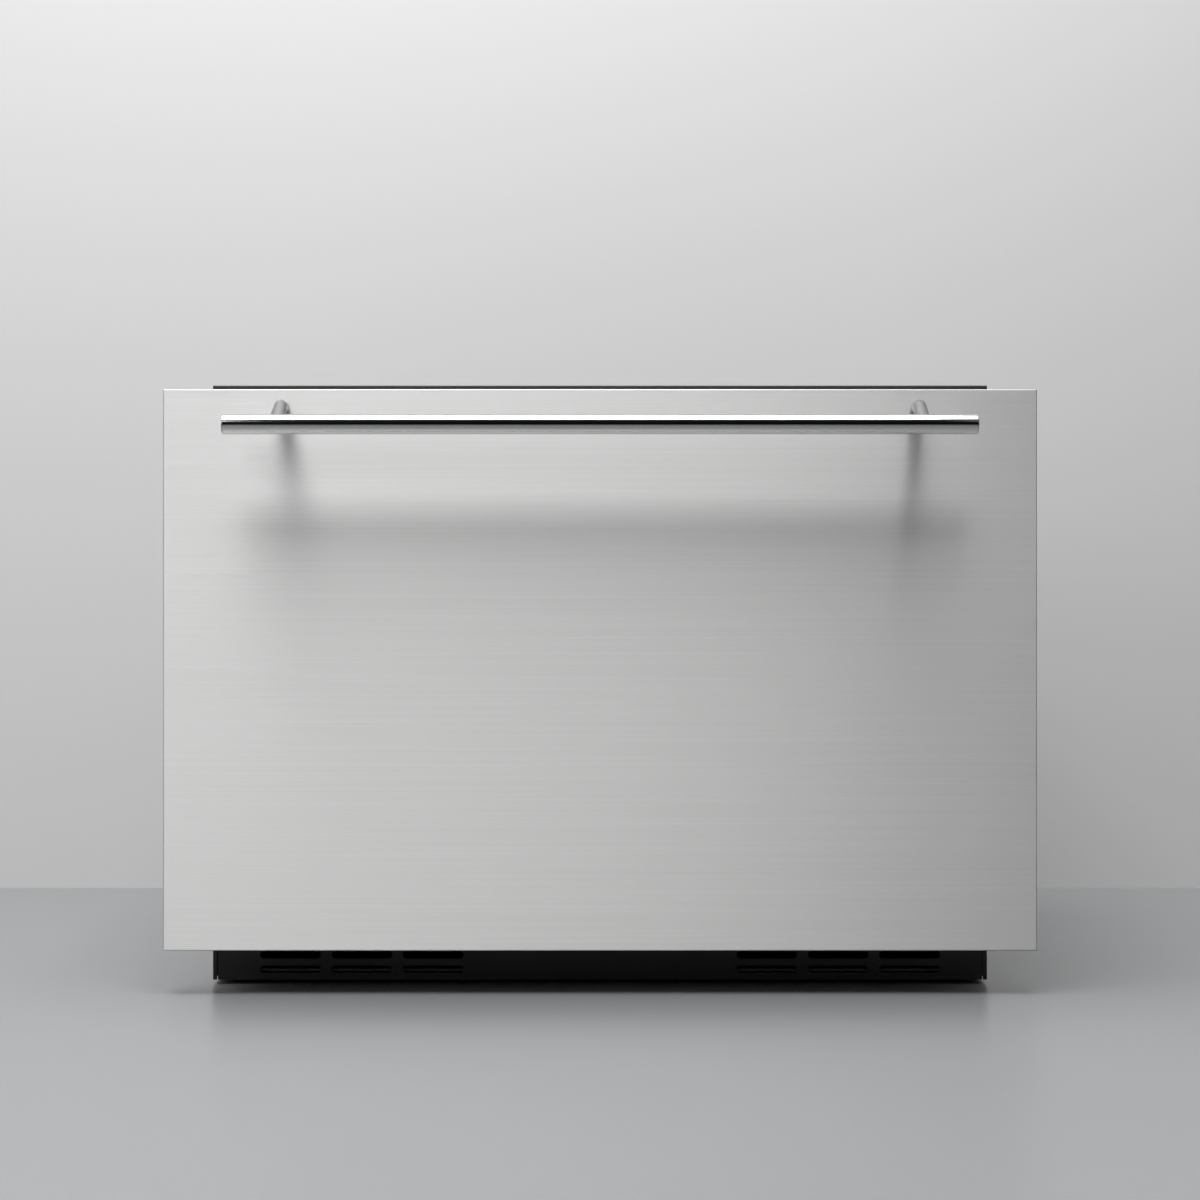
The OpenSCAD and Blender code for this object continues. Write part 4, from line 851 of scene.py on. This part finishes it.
def soft_light(name, place_at, look_at, width, height, power):
    """A rectangular soft box that faces a point."""
    deselect()
    place_at, look_at = Vector(place_at), Vector(look_at)
    turn = (place_at - look_at).to_track_quat("Z", "Y").to_euler()
    bpy.ops.object.light_add(type="AREA", location=place_at, rotation=turn)
    lamp = bpy.context.object
    lamp.name = name
    lamp.data.shape = "RECTANGLE"
    lamp.data.size = width
    lamp.data.size_y = height
    lamp.data.energy = power


def room_light(front, back, overhead):
    """Plain room light: dim in front of the object, bright behind it, and a little from above."""
    world = bpy.data.worlds.new("room")
    bpy.context.scene.world = world
    world.use_nodes = True
    tree = world.node_tree
    where = tree.nodes.new("ShaderNodeTexCoord")
    split = tree.nodes.new("ShaderNodeSeparateXYZ")
    tree.links.new(where.outputs["Generated"], split.inputs["Vector"])

    def grade(value, start, end, low, high):
        ramp = tree.nodes.new("ShaderNodeMapRange")
        ramp.interpolation_type = "SMOOTHSTEP"
        ramp.inputs["From Min"].default_value = start
        ramp.inputs["From Max"].default_value = end
        ramp.inputs["To Min"].default_value = low
        ramp.inputs["To Max"].default_value = high
        tree.links.new(value, ramp.inputs["Value"])
        return ramp.outputs["Result"]

    depth = grade(split.outputs["Y"], -0.3, 0.5, front, back)
    height = grade(split.outputs["Z"], 0.4, 1.0, 0, overhead)
    total = tree.nodes.new("ShaderNodeMath")
    total.operation = "ADD"
    tree.links.new(depth, total.inputs[0])
    tree.links.new(height, total.inputs[1])
    tree.links.new(total.outputs["Value"], tree.nodes["Background"].inputs["Strength"])
    tree.nodes["Background"].inputs["Color"].default_value = (1, 1, 1, 1)


pale_floor = studio_paint("pale_floor", (0.15, 0.152, 0.156), 0.3)
pale_wall = studio_paint("pale_wall", (0.47, 0.47, 0.473), 0.6, seen_from_behind=False)
studio_plane("floor", (0, 0, 0), ROOM_WIDTH, ROOM_WIDTH, (0, 0, 0), pale_floor)
studio_plane("wall", (0, WALL_Y, WALL_HEIGHT / 2), ROOM_WIDTH, WALL_HEIGHT,
             (math.radians(90), 0, 0), pale_wall)
room_light(front=0.005, back=0.9, overhead=0.1)
for soft_box in SOFT_BOXES:
    soft_light(*soft_box)

deselect()
bpy.ops.object.camera_add(location=CAMERA_PLACE, rotation=(math.radians(90), 0, 0))
camera = bpy.context.object
camera.data.sensor_width = SENSOR_WIDTH
camera.data.lens = LENS
bpy.context.scene.camera = camera
bpy.context.scene.view_settings.view_transform = "Standard"
